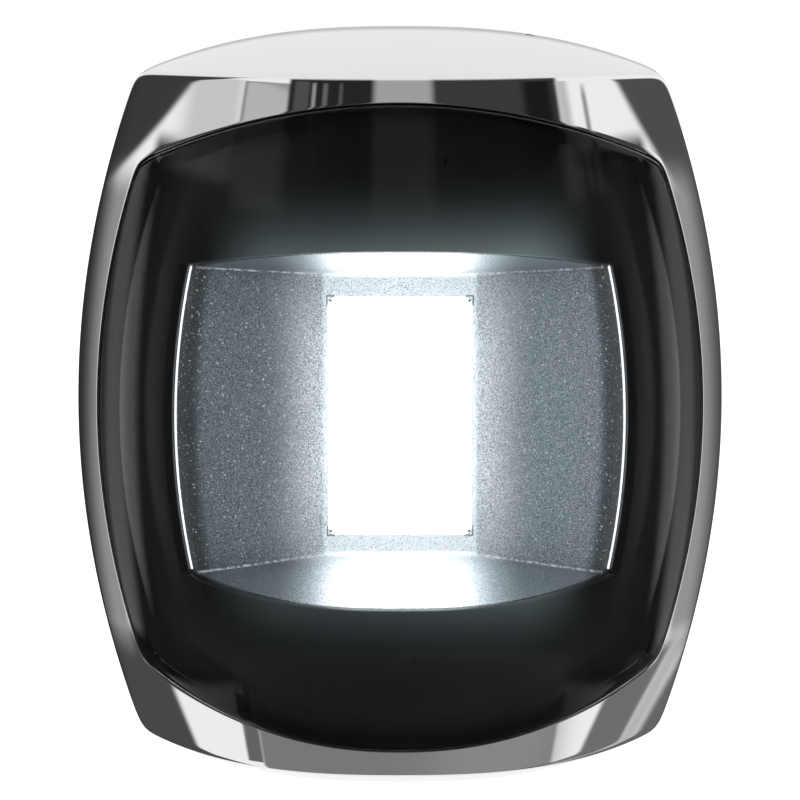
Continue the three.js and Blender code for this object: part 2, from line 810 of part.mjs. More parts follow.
// From the terminal block, round above the fins, to the top edge of the driver board.
// The lead in the outer lane starts and ends further out, so the two never cross.
function makeSupplyLead(lane) {
  const shift = lane * (2 * supplyLeadRadius + 2 * gap);
  const depth = sinkBottom - 2.6;
  const start = terminalZ + terminalHeight / 2 + gap;
  const across = finHalfLength + 2 * gap + supplyLeadRadius + shift;
  const end = driverHalfHeight + 2 * gap;
  return lead(
    [
      [terminalX + 1 - shift, depth, start],
      [terminalX + 1 - shift, depth, start + 2],
      [terminalX + 6 - shift, depth, across],
      [-6, depth, across],
      [6, depth, across],
      [driverX - 6 + shift, depth, across],
      [driverX - 1 + shift, driverTop - supplyLeadRadius, end + 2],
      [driverX - 1 + shift, driverTop - supplyLeadRadius, end],
    ],
    supplyLeadRadius,
    30,
  );
}

// From the driver board, round the edge of the heat sink, to the LED board.
function makeLedLead(z) {
  return lead(
    [
      [driverX - driverHalfWidth + 1.4, driverTop + gap + ledLeadRadius, z],
      [driverX - driverHalfWidth - 0.3, driverTop + 1.6, z],
      [sinkHalfWidth + gap + ledLeadRadius + 0.6, sinkTop + 0.6, z],
      [boardHalfWidth + 1.0, boardTop + gap + ledLeadRadius - 0.1, z],
      [boardHalfWidth - 1.2, boardTop + gap + ledLeadRadius, z],
    ],
    ledLeadRadius,
    14,
  );
}

// ---------------------------------------------------------------- the assembly

const light = new THREE.Group();
const base = new THREE.Group();
const cover = new THREE.Group();
light.add(base, cover);

addPiece(base, "base_plate", makeBase(), blackMoulding);
addPiece(base, "wall_gasket", makeWallGasket(), blackRubber);
addPiece(base, "cover_seal", makeCoverSeal(), blackRubber);
addPiece(base, "cable_grommet", makeGrommet(), blackRubber);
addPiece(base, "heat_sink", makeHeatSink(), bareAluminium);
sinkScrewPlaces.forEach(([x, z], i) => {
  const screw = panScrew(x, z, sinkTop + gap, smallScrew);
  addPiece(base, `heat_sink_screw_${i + 1}`, screw, screwSteel);
});
const padHalf = [boardHalfWidth - 0.5, boardHalfHeight - 0.5];
const padSolid = flatBlock(...padHalf, padBottom, padBottom + padThickness);
addPiece(base, "thermal_pad", padSolid, greyPad);
const boardSolid = flatBlock(boardHalfWidth, boardHalfHeight, boardBottom, boardTop);
addPiece(base, "led_board", boardSolid, whiteBoard);
for (let row = 0; row < emitterRows; row++) {
  for (let column = 0; column < emitterColumns; column++) {
    const number = row * emitterColumns + column + 1;
    addPiece(base, `led_emitter_${number}`, makeEmitter(column, row), emitterYellow);
  }
}
addPiece(base, "reflector", makeReflector(), silverPaint);
[reflectorScrewZ, -reflectorScrewZ].forEach((z, i) => {
  const seat = sinkTop + gap + chamberWall + gap;
  addPiece(base, `reflector_screw_${i + 1}`, panScrew(0, z, seat, smallScrew), screwSteel);
});
addPiece(base, "diffuser", makeDiffuser(), whiteDiffuser);
addPiece(base, "terminal_block", makeTerminalBlock(), terminalGreen);
for (const [way, z] of terminalWays) {
  addPiece(base, `terminal_screw_${way}`, makeTerminalScrew(z), screwSteel);
}
addPiece(base, "driver_board", makeDriverBoard(), greenBoard);
driverScrewPlaces.forEach(([x, z], i) => {
  const screw = panScrew(x, z, driverTop + gap, tinyScrew);
  addPiece(base, `driver_screw_${i + 1}`, screw, screwSteel);
});
addPiece(base, "driver_inductor", makeInductor(), blackChip);
addPiece(base, "driver_capacitor", makeCapacitor(), canAluminium);
const rectifier = chip(driverX + 3.0, 3.2, rectifierSize, rectifierSize, rectifierHeight);
addPiece(base, "bridge_rectifier", rectifier, blackChip);
const regulator = chip(driverX + 3.4, -3.4, regulatorWidth, regulatorHeight, regulatorThickness);
addPiece(base, "driver_regulator", regulator, blackChip);
addPiece(base, "supply_lead", makeSupplyLead(1), redLead);
addPiece(base, "return_lead", makeSupplyLead(0), blackLead);
addPiece(base, "led_lead_positive", makeLedLead(-6.9), redLead);
addPiece(base, "led_lead_negative", makeLedLead(-8.5), blackLead);

addPiece(cover, "housing_cover", makeHousingCover(), polishedSteel);
addPiece(cover, "lock_screw", makeLockScrew(), screwSteel);
addPiece(cover, "lens", makeLens(), clearPlastic);
addPiece(cover, "lens_seal", makeLensSeal(), blackRubber);
addPiece(cover, "lens_mask", makeMask(), blackGloss);
retainerPlaces.forEach(([x, z], i) => {
  addPiece(cover, `retainer_screw_${i + 1}`, makeRetainerScrew(x, z), screwSteel);
});

export default light;
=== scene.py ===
# %% [markdown]
# # A polished stern light for a small vessel
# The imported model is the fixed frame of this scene. Every finished piece is built around it, in metres,
# with +Z up, the wall at y = 0 and the light looking along -Y. "Depth" is the distance forward from the
# wall and "inset" is how far a surface lies inside the cover's outer skin, as a maker would give them.

# %% Load the frame
import json
import math

import bmesh
import bpy
import numpy as np
from mathutils import Matrix, Vector


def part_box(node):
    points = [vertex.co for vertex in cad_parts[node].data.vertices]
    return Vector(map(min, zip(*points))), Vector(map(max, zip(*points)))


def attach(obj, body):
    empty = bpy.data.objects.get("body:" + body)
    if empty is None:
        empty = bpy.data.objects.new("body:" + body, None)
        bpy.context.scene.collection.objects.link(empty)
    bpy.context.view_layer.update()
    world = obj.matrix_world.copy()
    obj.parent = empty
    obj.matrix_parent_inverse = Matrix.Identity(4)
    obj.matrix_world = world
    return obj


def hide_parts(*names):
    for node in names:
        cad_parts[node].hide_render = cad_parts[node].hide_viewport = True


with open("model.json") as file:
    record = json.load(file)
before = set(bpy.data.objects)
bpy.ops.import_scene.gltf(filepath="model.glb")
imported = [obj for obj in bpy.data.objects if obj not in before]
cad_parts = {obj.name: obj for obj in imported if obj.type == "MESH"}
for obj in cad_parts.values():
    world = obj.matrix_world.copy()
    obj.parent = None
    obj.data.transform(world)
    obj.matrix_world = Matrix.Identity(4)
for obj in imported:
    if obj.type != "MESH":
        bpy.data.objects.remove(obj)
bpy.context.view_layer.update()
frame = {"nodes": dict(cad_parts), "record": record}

nodes = frame["nodes"]
MM = 0.001

# %% [markdown]
# ## The barrel form
# The cover is half a barrel: its sides and its front bulge, and both ends are low domes. One rule gives the
# skin's depth anywhere on the front, so the cover, lens, mask and chamber all read their shape from it and
# stay parallel. The overall sizes come from the frame, and the bulges are the maker's own numbers.

# %% The skin's rule
cover_low, cover_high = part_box("housing_cover")
body_half_width = cover_high.x
dome_rise = 5.0 * MM
crease_height = cover_high.z - dome_rise
body_depth = 38.0 * MM
side_sag = 6.8 * MM
front_sag = 8.26 * MM
side_depth = 4.6 * MM
rim_depth = -cover_high.y
front_power = 2.6
dome_power = 2.5
cover_wall = 1.2 * MM


def half_width(z, inset=0.0):
    return body_half_width - side_sag * (z / crease_height) ** 2 - inset


def front_depth(z, inset=0.0):
    return body_depth - front_sag * (z / crease_height) ** 2 - inset


def skin_depth(x, z, inset=0.0):
    """Depth of the front skin over the point (x, z)."""
    share = np.minimum(np.abs(x) / half_width(z, inset), 1.0)
    front = front_depth(z, inset)
    return front - (front - side_depth) * share**front_power


print("body", round(2 * body_half_width / MM, 1), "mm wide, crease at", round(crease_height / MM, 1), "mm")

# %% [markdown]
# ## Outlines
# The lens opening and the cover's crease are both made of two pairs of shallow curves with softened
# corners. An outline here is a loop of points taken side by side, top, right, bottom and left, so that two
# outlines with the same count can be joined point to point. A high power norm rounds the corners.

# %% Loops of points
side_points = 56  # points along each of the four sides of a loop


def side_shares(count):
    """Shares from -1 to 1, a little closer together towards the corners."""
    even = np.linspace(-1, 1, count, endpoint=False)
    return 0.5 * even + 0.5 * np.sin(even * math.pi / 2)


def loop(corner, half_x, half_z, power, count=side_points):
    """A closed loop of (x, z) whose four sides are x = half_x(z) and z = half_z(x)."""
    share = side_shares(count)
    along_x = corner[0] * share
    along_z = corner[1] * share
    top = np.column_stack([along_x, half_z(along_x)])
    right = np.column_stack([half_x(-along_z), -along_z])
    points = np.vstack([top, right, -top, -right])
    low = np.full(len(points), 0.8)
    high = np.full(len(points), 1.05)
    for _ in range(40):
        middle = (low + high) / 2
        x = np.abs(points[:, 0]) * middle
        z = np.abs(points[:, 1]) * middle
        inside = (x / half_x(z)) ** power + (z / half_z(x)) ** power < 1
        low = np.where(inside, middle, low)
        high = np.where(inside, high, middle)
    return points * low[:, None]


opening_half_width = 32.8 * MM
opening_half_height = 33.5 * MM
opening_side_sag = 4.8 * MM
opening_top_sag = 6.5 * MM
opening_corner = (28.0 * MM, 27.0 * MM)
corner_power = 60


def opening_loop(margin=0.0, count=side_points):
    def half_x(z):
        return opening_half_width + margin - opening_side_sag * (z / opening_corner[1]) ** 2

    def half_z(x):
        return opening_half_height + margin - opening_top_sag * (x / opening_corner[0]) ** 2

    return loop(opening_corner, half_x, half_z, corner_power, count)


def crease_loop(inset=0.0, count=side_points):
    top = crease_height - inset
    corner = (half_width(top, inset), top)
    return loop(corner, lambda z: half_width(z, inset), lambda x: top + 0 * x, corner_power, count)


print("opening loop:", len(opening_loop()), "points")

# %% [markdown]
# ## Mesh helpers
# A shell that rings an opening is a torus of quads: every row is a loop, and the last row joins the first.
# A face without a hole is a square grid of nested loops, which avoids a pole in the middle of a glossy face.

# %% Rows to meshes


def in_scene(name, data):
    """A new object of the data, at the origin, in the scene."""
    obj = bpy.data.objects.new(name, data)
    bpy.context.scene.collection.objects.link(obj)
    return obj


def new_object(name, vertices, faces):
    mesh = bpy.data.meshes.new(name)
    mesh.from_pydata([tuple(v) for v in vertices], [], faces)
    mesh.validate()
    obj = in_scene(name, mesh)
    work = bmesh.new()
    work.from_mesh(mesh)
    bmesh.ops.remove_doubles(work, verts=work.verts, dist=1e-7)
    bmesh.ops.recalc_face_normals(work, faces=work.faces)
    work.to_mesh(mesh)
    work.free()
    for polygon in mesh.polygons:
        polygon.use_smooth = True
    return obj


def torus_of_rows(name, rows):
    """A closed shell from loops of 3-D points, each row the same length."""
    count = len(rows[0])
    faces = []
    for r in range(len(rows)):
        here = r * count
        there = ((r + 1) % len(rows)) * count
        for i in range(count):
            j = (i + 1) % count
            faces.append((here + i, here + j, there + j, there + i))
    return new_object(name, np.vstack(rows), faces)


def in_space(points, depth):
    """(x, z) points and their depths as 3-D points."""
    return np.column_stack([points[:, 0], -np.asarray(depth), points[:, 1]])


def apply_modifiers(obj):
    graph = bpy.context.evaluated_depsgraph_get()
    result = bpy.data.meshes.new_from_object(obj.evaluated_get(graph))
    result.name = obj.name
    obj.modifiers.clear()
    obj.data = result
    return obj


def subdivide(obj, levels=1):
    modifier = obj.modifiers.new("smooth", "SUBSURF")
    modifier.levels = levels
    modifier.render_levels = levels
    return apply_modifiers(obj)


def smooth_by_angle(obj, degrees):
    """Shades smooth, with a sharp edge wherever two faces meet at more than this angle."""
    limit = math.radians(degrees)
    work = bmesh.new()
    work.from_mesh(obj.data)
    for face in work.faces:
        face.smooth = True
    for edge in work.edges:
        edge.smooth = len(edge.link_faces) == 2 and edge.calc_face_angle() < limit
    work.to_mesh(obj.data)
    work.free()
    return obj


def resample(rows, stations):
    """Points at given distances along each of many paths; rows is path by point by xyz."""
    steps = np.linalg.norm(np.diff(rows, axis=1), axis=2)
    run = np.concatenate([np.zeros((len(rows), 1)), np.cumsum(steps, axis=1)], axis=1)
    out = np.empty((len(rows), stations.shape[1], 3))
    for k, path in enumerate(rows):
        for axis in range(3):
            out[k, :, axis] = np.interp(stations[k], run[k], path[:, axis])
    return out, run[:, -1]


def stations_between(lengths, start, end, count):
    """Distances along paths: close ones near both ends, then `count` even ones between."""
    rows = []
    for length in lengths:
        first = np.minimum(np.array(start), 0.3 * length)
        last = length - np.minimum(np.array(end), 0.3 * length)[::-1]
        middle = np.linspace(first[-1], last[0], count + 2)[1:-1]
        rows.append(np.concatenate([first, middle, last]))
    return np.array(rows)


# %% [markdown]
# ## The polished cover
# The real cover is one deep-drawn stainless shell, polished to a mirror. A mirror shows every facet, so the
# shell is swept in rows from the lens opening, over the crease, back along dome and side to the rim, and
# round inside. Rows crowd together at the edges, and one subdivision rounds those edges and nothing else.

# %% Build the cover


def front_paths(inner, outer, inset, dense=160):
    """Paths on the front skin from one loop to another."""
    share = np.linspace(0, 1, dense)[None, :, None]
    flat = inner[:, None, :] * (1 - share) + outer[:, None, :] * share
    depth = skin_depth(flat[..., 0], flat[..., 1], inset)
    return np.stack([flat[..., 0], -depth, flat[..., 1]], axis=2)


def end_paths(outer, inset, rim, dense=160):
    """Paths from the crease back to the rim, over the domed ends and along the straight sides."""
    x, z = outer[:, 0], outer[:, 1]
    start = skin_depth(x, z, inset)
    share_x = np.minimum(np.abs(x) / half_width(z, inset), 1.0)
    lift = dome_rise * (1 - share_x**dome_power) * np.sign(z)
    ease = np.linspace(0, 1, dense)[None, :]
    depth = start[:, None] * (1 - ease) + rim * ease
    rise = lift[:, None] * (1 - (depth / start[:, None]) ** 2)
    return np.stack([x[:, None] + 0 * depth, -depth, z[:, None] + rise], axis=2)


def path_lengths(paths):
    return np.linalg.norm(np.diff(paths, axis=1), axis=2).sum(axis=1)


def section_rows(paths, start, end, count):
    stations = stations_between(path_lengths(paths), start, end, count)
    points, _ = resample(paths, stations)
    return [points[:, k] for k in range(points.shape[1])]


edge_round = 0.22 * MM
crease_round = 0.85 * MM
outer_front = front_paths(opening_loop(), crease_loop(), 0.0)
outer_end = end_paths(crease_loop(), 0.0, rim_depth)
inner_front = front_paths(opening_loop(), crease_loop(cover_wall), cover_wall)
inner_end = end_paths(crease_loop(cover_wall), cover_wall, rim_depth)
rows = section_rows(outer_front, [0, edge_round], [0, crease_round], 9)
rows += section_rows(outer_end, [0, crease_round], [0, edge_round], 8)[1:]
rows += section_rows(inner_end, [0, crease_round], [0, edge_round], 3)[::-1]
rows += section_rows(inner_front, [0, edge_round], [0, crease_round], 3)[::-1][1:]
cover_shell = torus_of_rows("cover_shell", rows)
subdivide(cover_shell)
print("cover:", len(cover_shell.data.polygons), "faces")

# %% Cut the release slot and the lock screw's hole


def cylinder_mesh(name, radius, start, end, sides=48):
    """A closed cylinder between two points, as a new object at the origin."""
    axis = Vector(end) - Vector(start)
    work = bmesh.new()
    bmesh.ops.create_cone(
        work, cap_ends=True, segments=sides, radius1=radius, radius2=radius, depth=axis.length
    )
    turn = axis.to_track_quat("Z", "Y").to_matrix().to_4x4()
    place = Matrix.Translation((Vector(start) + Vector(end)) / 2) @ turn
    bmesh.ops.transform(work, matrix=place, verts=work.verts)
    mesh = bpy.data.meshes.new(name)
    work.to_mesh(mesh)
    work.free()
    return in_scene(name, mesh)


def box_mesh(name, low, high):
    work = bmesh.new()
    bmesh.ops.create_cube(work, size=1.0)
    low, high = Vector(low), Vector(high)
    size = Matrix.Diagonal((*(high - low), 1.0))
    bmesh.ops.transform(work, matrix=Matrix.Translation((low + high) / 2) @ size, verts=work.verts)
    mesh = bpy.data.meshes.new(name)
    work.to_mesh(mesh)
    work.free()
    return in_scene(name, mesh)


def cut(obj, *cutters):
    for cutter in cutters:
        modifier = obj.modifiers.new("cut", "BOOLEAN")
        modifier.operation = "DIFFERENCE"
        modifier.object = cutter
        modifier.solver = "EXACT"
    bpy.context.view_layer.update()
    apply_modifiers(obj)
    for cutter in cutters:
        bpy.data.objects.remove(cutter)
    return obj


lock_low, lock_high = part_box("lock_screw")
lock_centre = (lock_low + lock_high) / 2
lock_clearance = 0.12 * MM
lock_hole = cylinder_mesh(
    "lock_hole",
    (lock_high.x - lock_low.x) / 2 + lock_clearance,
    (lock_centre.x, lock_centre.y, lock_low.z - 5 * MM),
    (lock_centre.x, lock_centre.y, lock_high.z + 3 * MM),
)
release_x = 14.2 * MM
release_half = 0.45 * MM
release_back, release_front = 2.6 * MM, 4.4 * MM
release_slot = box_mesh(
    "release_slot",
    (release_x - release_half, -release_front, crease_height),
    (release_x + release_half, -release_back, cover_high.z + 2 * MM),
)
cut(cover_shell, lock_hole, release_slot)
smooth_by_angle(cover_shell, 40)
print("cover with its cuts:", len(cover_shell.data.polygons), "faces")

# %% [markdown]
# ## The lens
# A clear moulding 2.8 mm thick, standing a little proud of the steel with a softened edge. Its face is
# a square grid of nested loops laid on the skin's rule, and the same grid, further in, closes its back.

# %% Build the lens


def nested_grid(boundary, rings):
    """(x, z) points of a square grid whose rings are scaled copies of a loop, and its faces."""
    side = 2 * rings + 1
    points = np.zeros((side, side, 2))
    step = len(boundary) // 4
    closed = np.vstack([boundary, boundary[:1]])
    position = np.linspace(0, step, side)

    def along(start):
        index = np.arange(start, start + step + 1)
        return np.column_stack(
            [np.interp(position, np.arange(step + 1), closed[index % len(boundary), a]) for a in (0, 1)]
        )

    top, right, bottom, left = (along(k * step) for k in range(4))
    for r in range(1, rings + 1):
        scale = r / rings
        low, high = rings - r, rings + r
        inside = np.linspace(0, side - 1, 2 * r + 1)
        for sequence, place in (
            (top, lambda k: (low + k, high)),
            (right, lambda k: (high, high - k)),
            (bottom, lambda k: (high - k, low)),
            (left, lambda k: (low, low + k)),
        ):
            for k, at in enumerate(inside):
                point = [np.interp(at, np.arange(side), sequence[:, a]) for a in (0, 1)]
                points[place(k)] = np.array(point) * scale
    faces = []
    for i in range(side - 1):
        for j in range(side - 1):
            a = i * side + j
            faces.append((a, a + side, a + side + 1, a + 1))
    ring = [(i, side - 1) for i in range(side - 1)]
    ring += [(side - 1, j) for j in range(side - 1, 0, -1)]
    ring += [(i, 0) for i in range(side - 1, 0, -1)]
    ring += [(0, j) for j in range(side - 1)]
    rim = [i * side + j for i, j in ring]
    return points.reshape(-1, 2), faces, rim


def pillow(name, loops, front_inset, back_inset, rings=28):
    """A closed sheet between two insets of the skin. loops are (margin, inset) rows round its edge."""
    grid, faces, rim = nested_grid(opening_loop(loops[0][0], rings * 2), rings)
    front = in_space(grid, skin_depth(grid[:, 0], grid[:, 1], front_inset))
    back_grid, _, _ = nested_grid(opening_loop(loops[-1][0], rings * 2), rings)
    back = in_space(back_grid, skin_depth(back_grid[:, 0], back_grid[:, 1], back_inset))
    vertices = [front]
    all_faces = list(faces)
    previous = list(rim)
    total = len(front)
    for margin, inset in loops[1:-1]:
        edge, _, edge_rim = nested_grid(opening_loop(margin, rings * 2), rings)
        points = edge[edge_rim]
        vertices.append(in_space(points, skin_depth(points[:, 0], points[:, 1], inset)))
        here = list(range(total, total + len(points)))
        total += len(points)
        for k in range(len(here)):
            m = (k + 1) % len(here)
            all_faces.append((previous[k], previous[m], here[m], here[k]))
        previous = here
    vertices.append(back)
    last = [total + r for r in rim]
    for k in range(len(last)):
        m = (k + 1) % len(last)
        all_faces.append((previous[k], previous[m], last[m], last[k]))
    all_faces += [tuple(total + v for v in reversed(face)) for face in faces]
    return new_object(name, np.vstack(vertices), all_faces)


lens_gap = 0.13 * MM
lens_proud = 0.6 * MM
lens_back = 2.2 * MM
lens_edge = 0.2 * MM
lens_rows = [
    (-lens_gap - lens_edge, -lens_proud),
    (-lens_gap - 0.3 * lens_edge, -lens_proud + 0.25 * lens_edge),
    (-lens_gap, -lens_proud + lens_edge),
    (-lens_gap, 0.3 * MM),
    (-lens_gap, lens_back - 0.2 * MM),
    (-lens_gap - 0.2 * MM, lens_back),
]
lens_shell = pillow("lens_shell", lens_rows, -lens_proud, lens_back)
subdivide(lens_shell)
print("lens:", len(lens_shell.data.polygons), "faces")

# %% [markdown]
# ## The mask and its window
# A gloss black moulding lies just behind the lens and hides everything but the light chamber. Its window is
# where the chamber's four flat walls meet the mask's curve, so it is narrow at the sides, where the curve
# falls away, and bowed above and below. Each point of that edge is found by stepping towards the crossing.

# %% Find the window's edge
chamber_back = 15.5 * MM
chamber_half_width = 7.8 * MM
chamber_half_height = 15.0 * MM
cut_off = math.radians(67.5)
chamber_slope = math.tan(cut_off)
chamber_flare = 0.204


def window_loop(inset, wall=0.0, flange=0.0, count=side_points):
    """Where the chamber's walls, moved out by `wall`, meet the skin at an inset.

    A flange carries the side edges on along the skin, past the walls.
    """
    back = chamber_back - wall
    half_height = chamber_half_height + wall

    def reach_x(depth):
        return chamber_half_width + chamber_slope * (depth - back)

    def reach_z(depth):
        return half_height + chamber_flare * (depth - chamber_back)

    def settle(step, value):
        for _ in range(60):
            value = 0.75 * value + 0.25 * step(value)
        return value

    def side_x(z):
        def step(x):
            depth = skin_depth(x, z, inset)
            away = reach_x(depth) - x
            return x + 0.5 * away

        return settle(step, np.full(np.shape(z), 20 * MM))

    def top_z(x):
        def step(z):
            return reach_z(skin_depth(x, z, inset))

        return settle(step, np.full(np.shape(x), 17 * MM))

    corner_z = np.array([16.5 * MM])
    for _ in range(30):
        corner_x = side_x(corner_z)
        corner_z = top_z(corner_x)
    share = side_shares(count)
    along_x = corner_x[0] * share
    along_z = corner_z[0] * share
    top = np.column_stack([along_x, top_z(along_x)])
    top[:, 0] *= 1 + flange / corner_x[0]
    right = np.column_stack([side_x(-along_z), -along_z])
    right[:, 0] += flange * (1 + 0.6 * (1 - (along_z / corner_z[0]) ** 2))
    return np.vstack([top, right, -top, -right])


window_flange = 0.75 * MM
mask_front = 3.6 * MM
mask_back = 4.6 * MM
mask_margin = 0.9 * MM
window = window_loop(mask_front, flange=window_flange)
print("window:", [round(2 * v / MM, 1) for v in window.max(axis=0)], "mm")

# %% Build the mask
lip_round = 0.15 * MM
mask_outer = opening_loop(mask_margin)
mask_edge_round = 0.3 * MM
rows = section_rows(front_paths(window, mask_outer, mask_front), [0, lip_round], [0, mask_edge_round], 12)
back_window = window_loop(mask_back, flange=window_flange)
back_paths = front_paths(back_window, mask_outer, mask_back)
rows += section_rows(back_paths, [0, lip_round], [0, mask_edge_round], 4)[::-1]
mask_shell = torus_of_rows("mask_shell", rows)
subdivide(mask_shell)
print("mask:", len(mask_shell.data.polygons), "faces")

# %% [markdown]
# ## The light chamber
# One silver-coated moulding: a small back frame, two walls that rise gently above and below, and two side
# walls set at 67.5 degrees, which cut the light off at the edges of its sector. Rows run from the frame's
# own window, out along the walls to the lip behind the mask, and back along the outside.

# %% Build the chamber


def rectangle_loop(half_x, half_z, count=side_points):
    share = side_shares(count)
    top = np.column_stack([half_x * share, np.full(count, half_z)])
    right = np.column_stack([np.full(count, half_x), -half_z * share])
    return np.vstack([top, right, -top, -right])


chamber_wall = 1.3 * MM
lip_inset = mask_back + 0.04 * MM
light_half = (6.7 * MM, 11.7 * MM)
front_lip = window_loop(lip_inset)
lip_flange = window_loop(lip_inset, flange=window_flange + 0.5 * MM)
front_lip_outer = window_loop(lip_inset, chamber_wall, window_flange + 0.2 * MM)
lip_depth = skin_depth(front_lip[:, 0], front_lip[:, 1], lip_inset)
outer_lip_depth = skin_depth(front_lip_outer[:, 0], front_lip_outer[:, 1], lip_inset)
plate_back = chamber_back - chamber_wall
back_edge = rectangle_loop(chamber_half_width, chamber_half_height)
outer_edge = rectangle_loop(chamber_half_width, chamber_half_height + chamber_wall)
light_edge = rectangle_loop(*light_half)


def straight_rows(start, end, shares):
    return [start * (1 - s) + end * s for s in shares]


back_row = in_space(back_edge, np.full(len(back_edge), chamber_back))
lip_row = in_space(front_lip, lip_depth)
rows = [in_space(light_edge, np.full(len(light_edge), plate_back))]
rows.append(in_space(light_edge, np.full(len(light_edge), chamber_back)))
rows += straight_rows(back_row, lip_row, [0, 0.02, 0.25, 0.5, 0.75, 0.985, 1])
flange_depth = skin_depth(lip_flange[:, 0], lip_flange[:, 1], lip_inset)
rows.append(in_space(lip_flange, flange_depth))
outer_row = in_space(front_lip_outer, outer_lip_depth)
outer_back_row = in_space(outer_edge, np.full(len(outer_edge), plate_back))
rows += straight_rows(outer_row, outer_back_row, [0, 0.5, 1])
chamber_shell = torus_of_rows("chamber_shell", rows)
smooth_by_angle(chamber_shell, 25)
print("chamber:", len(chamber_shell.data.polygons), "faces")

# %% [markdown]
# ## Beads along the lips
# A thin bead runs down each side lip of the chamber and takes the lamp's light full on, and a finer line
# outside it is the mask's own rolled edge. Both are round sections swept down the lip. The bead's near-white
# colour and some emission of its own are a painted highlight, because so thin a line gets too little of the
# panel's light, and the rolled edge's grey is a painted highlight on the black mask.

# %% Sweep the beads


def swept_tube(name, path, radius, sides=10):
    """A capped round tube along a path of 3-D points that runs mostly along Z."""
    path = np.asarray(path)
    tangents = np.gradient(path, axis=0)
    tangents /= np.linalg.norm(tangents, axis=1)[:, None]
    first = np.cross(tangents, [0.0, -1.0, 0.0])
    first /= np.linalg.norm(first, axis=1)[:, None]
    second = np.cross(tangents, first)
    angles = np.linspace(0, 2 * math.pi, sides, endpoint=False)
    rings = [path + radius * (math.cos(t) * first + math.sin(t) * second) for t in angles]
    vertices = np.stack(rings, axis=1).reshape(-1, 3)
    faces = []
    for r in range(len(path) - 1):
        for k in range(sides):
            m = (k + 1) % sides
            faces.append((r * sides + k, r * sides + m, (r + 1) * sides + m, (r + 1) * sides + k))
    faces.append(tuple(range(sides)))
    faces.append(tuple(range((len(path) - 1) * sides, len(path) * sides)))
    return new_object(name, vertices, faces)


def joined_objects(name, *objects):
    work = bmesh.new()
    for obj in objects:
        work.from_mesh(obj.data)
    mesh = bpy.data.meshes.new(name)
    work.to_mesh(mesh)
    work.free()
    for obj in objects:
        bpy.data.objects.remove(obj)
    return in_scene(name, mesh)


def lip_path(offset, inset, forward, end):
    """Points down the right side lip, moved out and forward of it."""
    edge = window_loop(inset, flange=window_flange)
    sides_only = edge[side_points : 2 * side_points]
    sides_only = sides_only[np.abs(sides_only[:, 1]) < end]
    depth = skin_depth(sides_only[:, 0], sides_only[:, 1], inset) + forward
    return np.column_stack([sides_only[:, 0] + offset, -depth, sides_only[:, 1]])


mirror = np.array([-1.0, 1.0, 1.0])
lip_bead_path = lip_path(-0.15 * MM, lip_inset, 0.10 * MM, 16.3 * MM)
rolled_path = lip_path(0.14 * MM, lip_inset, 0.40 * MM, 16.3 * MM)
lip_beads = joined_objects(
    "lip_beads",
    swept_tube("bead_right", lip_bead_path, 0.17 * MM),
    swept_tube("bead_left", lip_bead_path * mirror, 0.17 * MM),
)
mask_rolls = joined_objects(
    "mask_rolls",
    swept_tube("roll_right", rolled_path, 0.06 * MM),
    swept_tube("roll_left", rolled_path * mirror, 0.06 * MM),
)
smooth_by_angle(lip_beads, 50)
smooth_by_angle(mask_rolls, 50)
print("beads:", len(lip_beads.data.polygons) + len(mask_rolls.data.polygons), "faces")

# %% [markdown]
# ## The diffuser
# An opal panel over the emitters. It is a rounded rectangle with a softened front edge, and it shows through
# the window in the chamber's back frame.

# %% Build the diffuser


def rounded_slab(name, low, high, corner, edge, corner_steps=8):
    """A slab that faces -Y, with round corners and a bevelled front edge."""
    centre_x, centre_z = (low.x + high.x) / 2, (low.z + high.z) / 2
    half_x, half_z = (high.x - low.x) / 2, (high.z - low.z) / 2

    def outline(shrink):
        points = []
        for k, (sx, sz) in enumerate(((1, 1), (-1, 1), (-1, -1), (1, -1))):
            for step in range(corner_steps + 1):
                angle = math.radians(90 * k + 90 * step / corner_steps)
                radius = corner - shrink
                x = centre_x + sx * (half_x - corner) + radius * math.cos(angle)
                z = centre_z + sz * (half_z - corner) + radius * math.sin(angle)
                points.append((x, z))
        return np.array(points)

    levels = [(high.y, 0), (low.y + edge, 0), (low.y + 0.3 * edge, 0.3 * edge), (low.y, edge)]
    vertices = []
    for y, shrink in levels:
        flat = outline(shrink)
        vertices.append(np.column_stack([flat[:, 0], np.full(len(flat), y), flat[:, 1]]))
    count = len(vertices[0])
    faces = []
    for r in range(len(levels) - 1):
        for i in range(count):
            j = (i + 1) % count
            faces.append((r * count + i, r * count + j, (r + 1) * count + j, (r + 1) * count + i))
    faces.append(tuple(range(count)))
    faces.append(tuple(reversed(range((len(levels) - 1) * count, len(levels) * count))))
    return new_object(name, np.vstack(vertices), faces)


diffuser_low, diffuser_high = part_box("diffuser")
diffuser_panel = rounded_slab("diffuser_panel", diffuser_low, diffuser_high, 0.9 * MM, 0.2 * MM)
smooth_by_angle(diffuser_panel, 40)
print("diffuser:", len(diffuser_panel.data.polygons), "faces")

# %% [markdown]
# Four small angle clips hold the diffuser's corners. Each is two thin bars just outside a corner, and a
# small pad that bears on the panel.

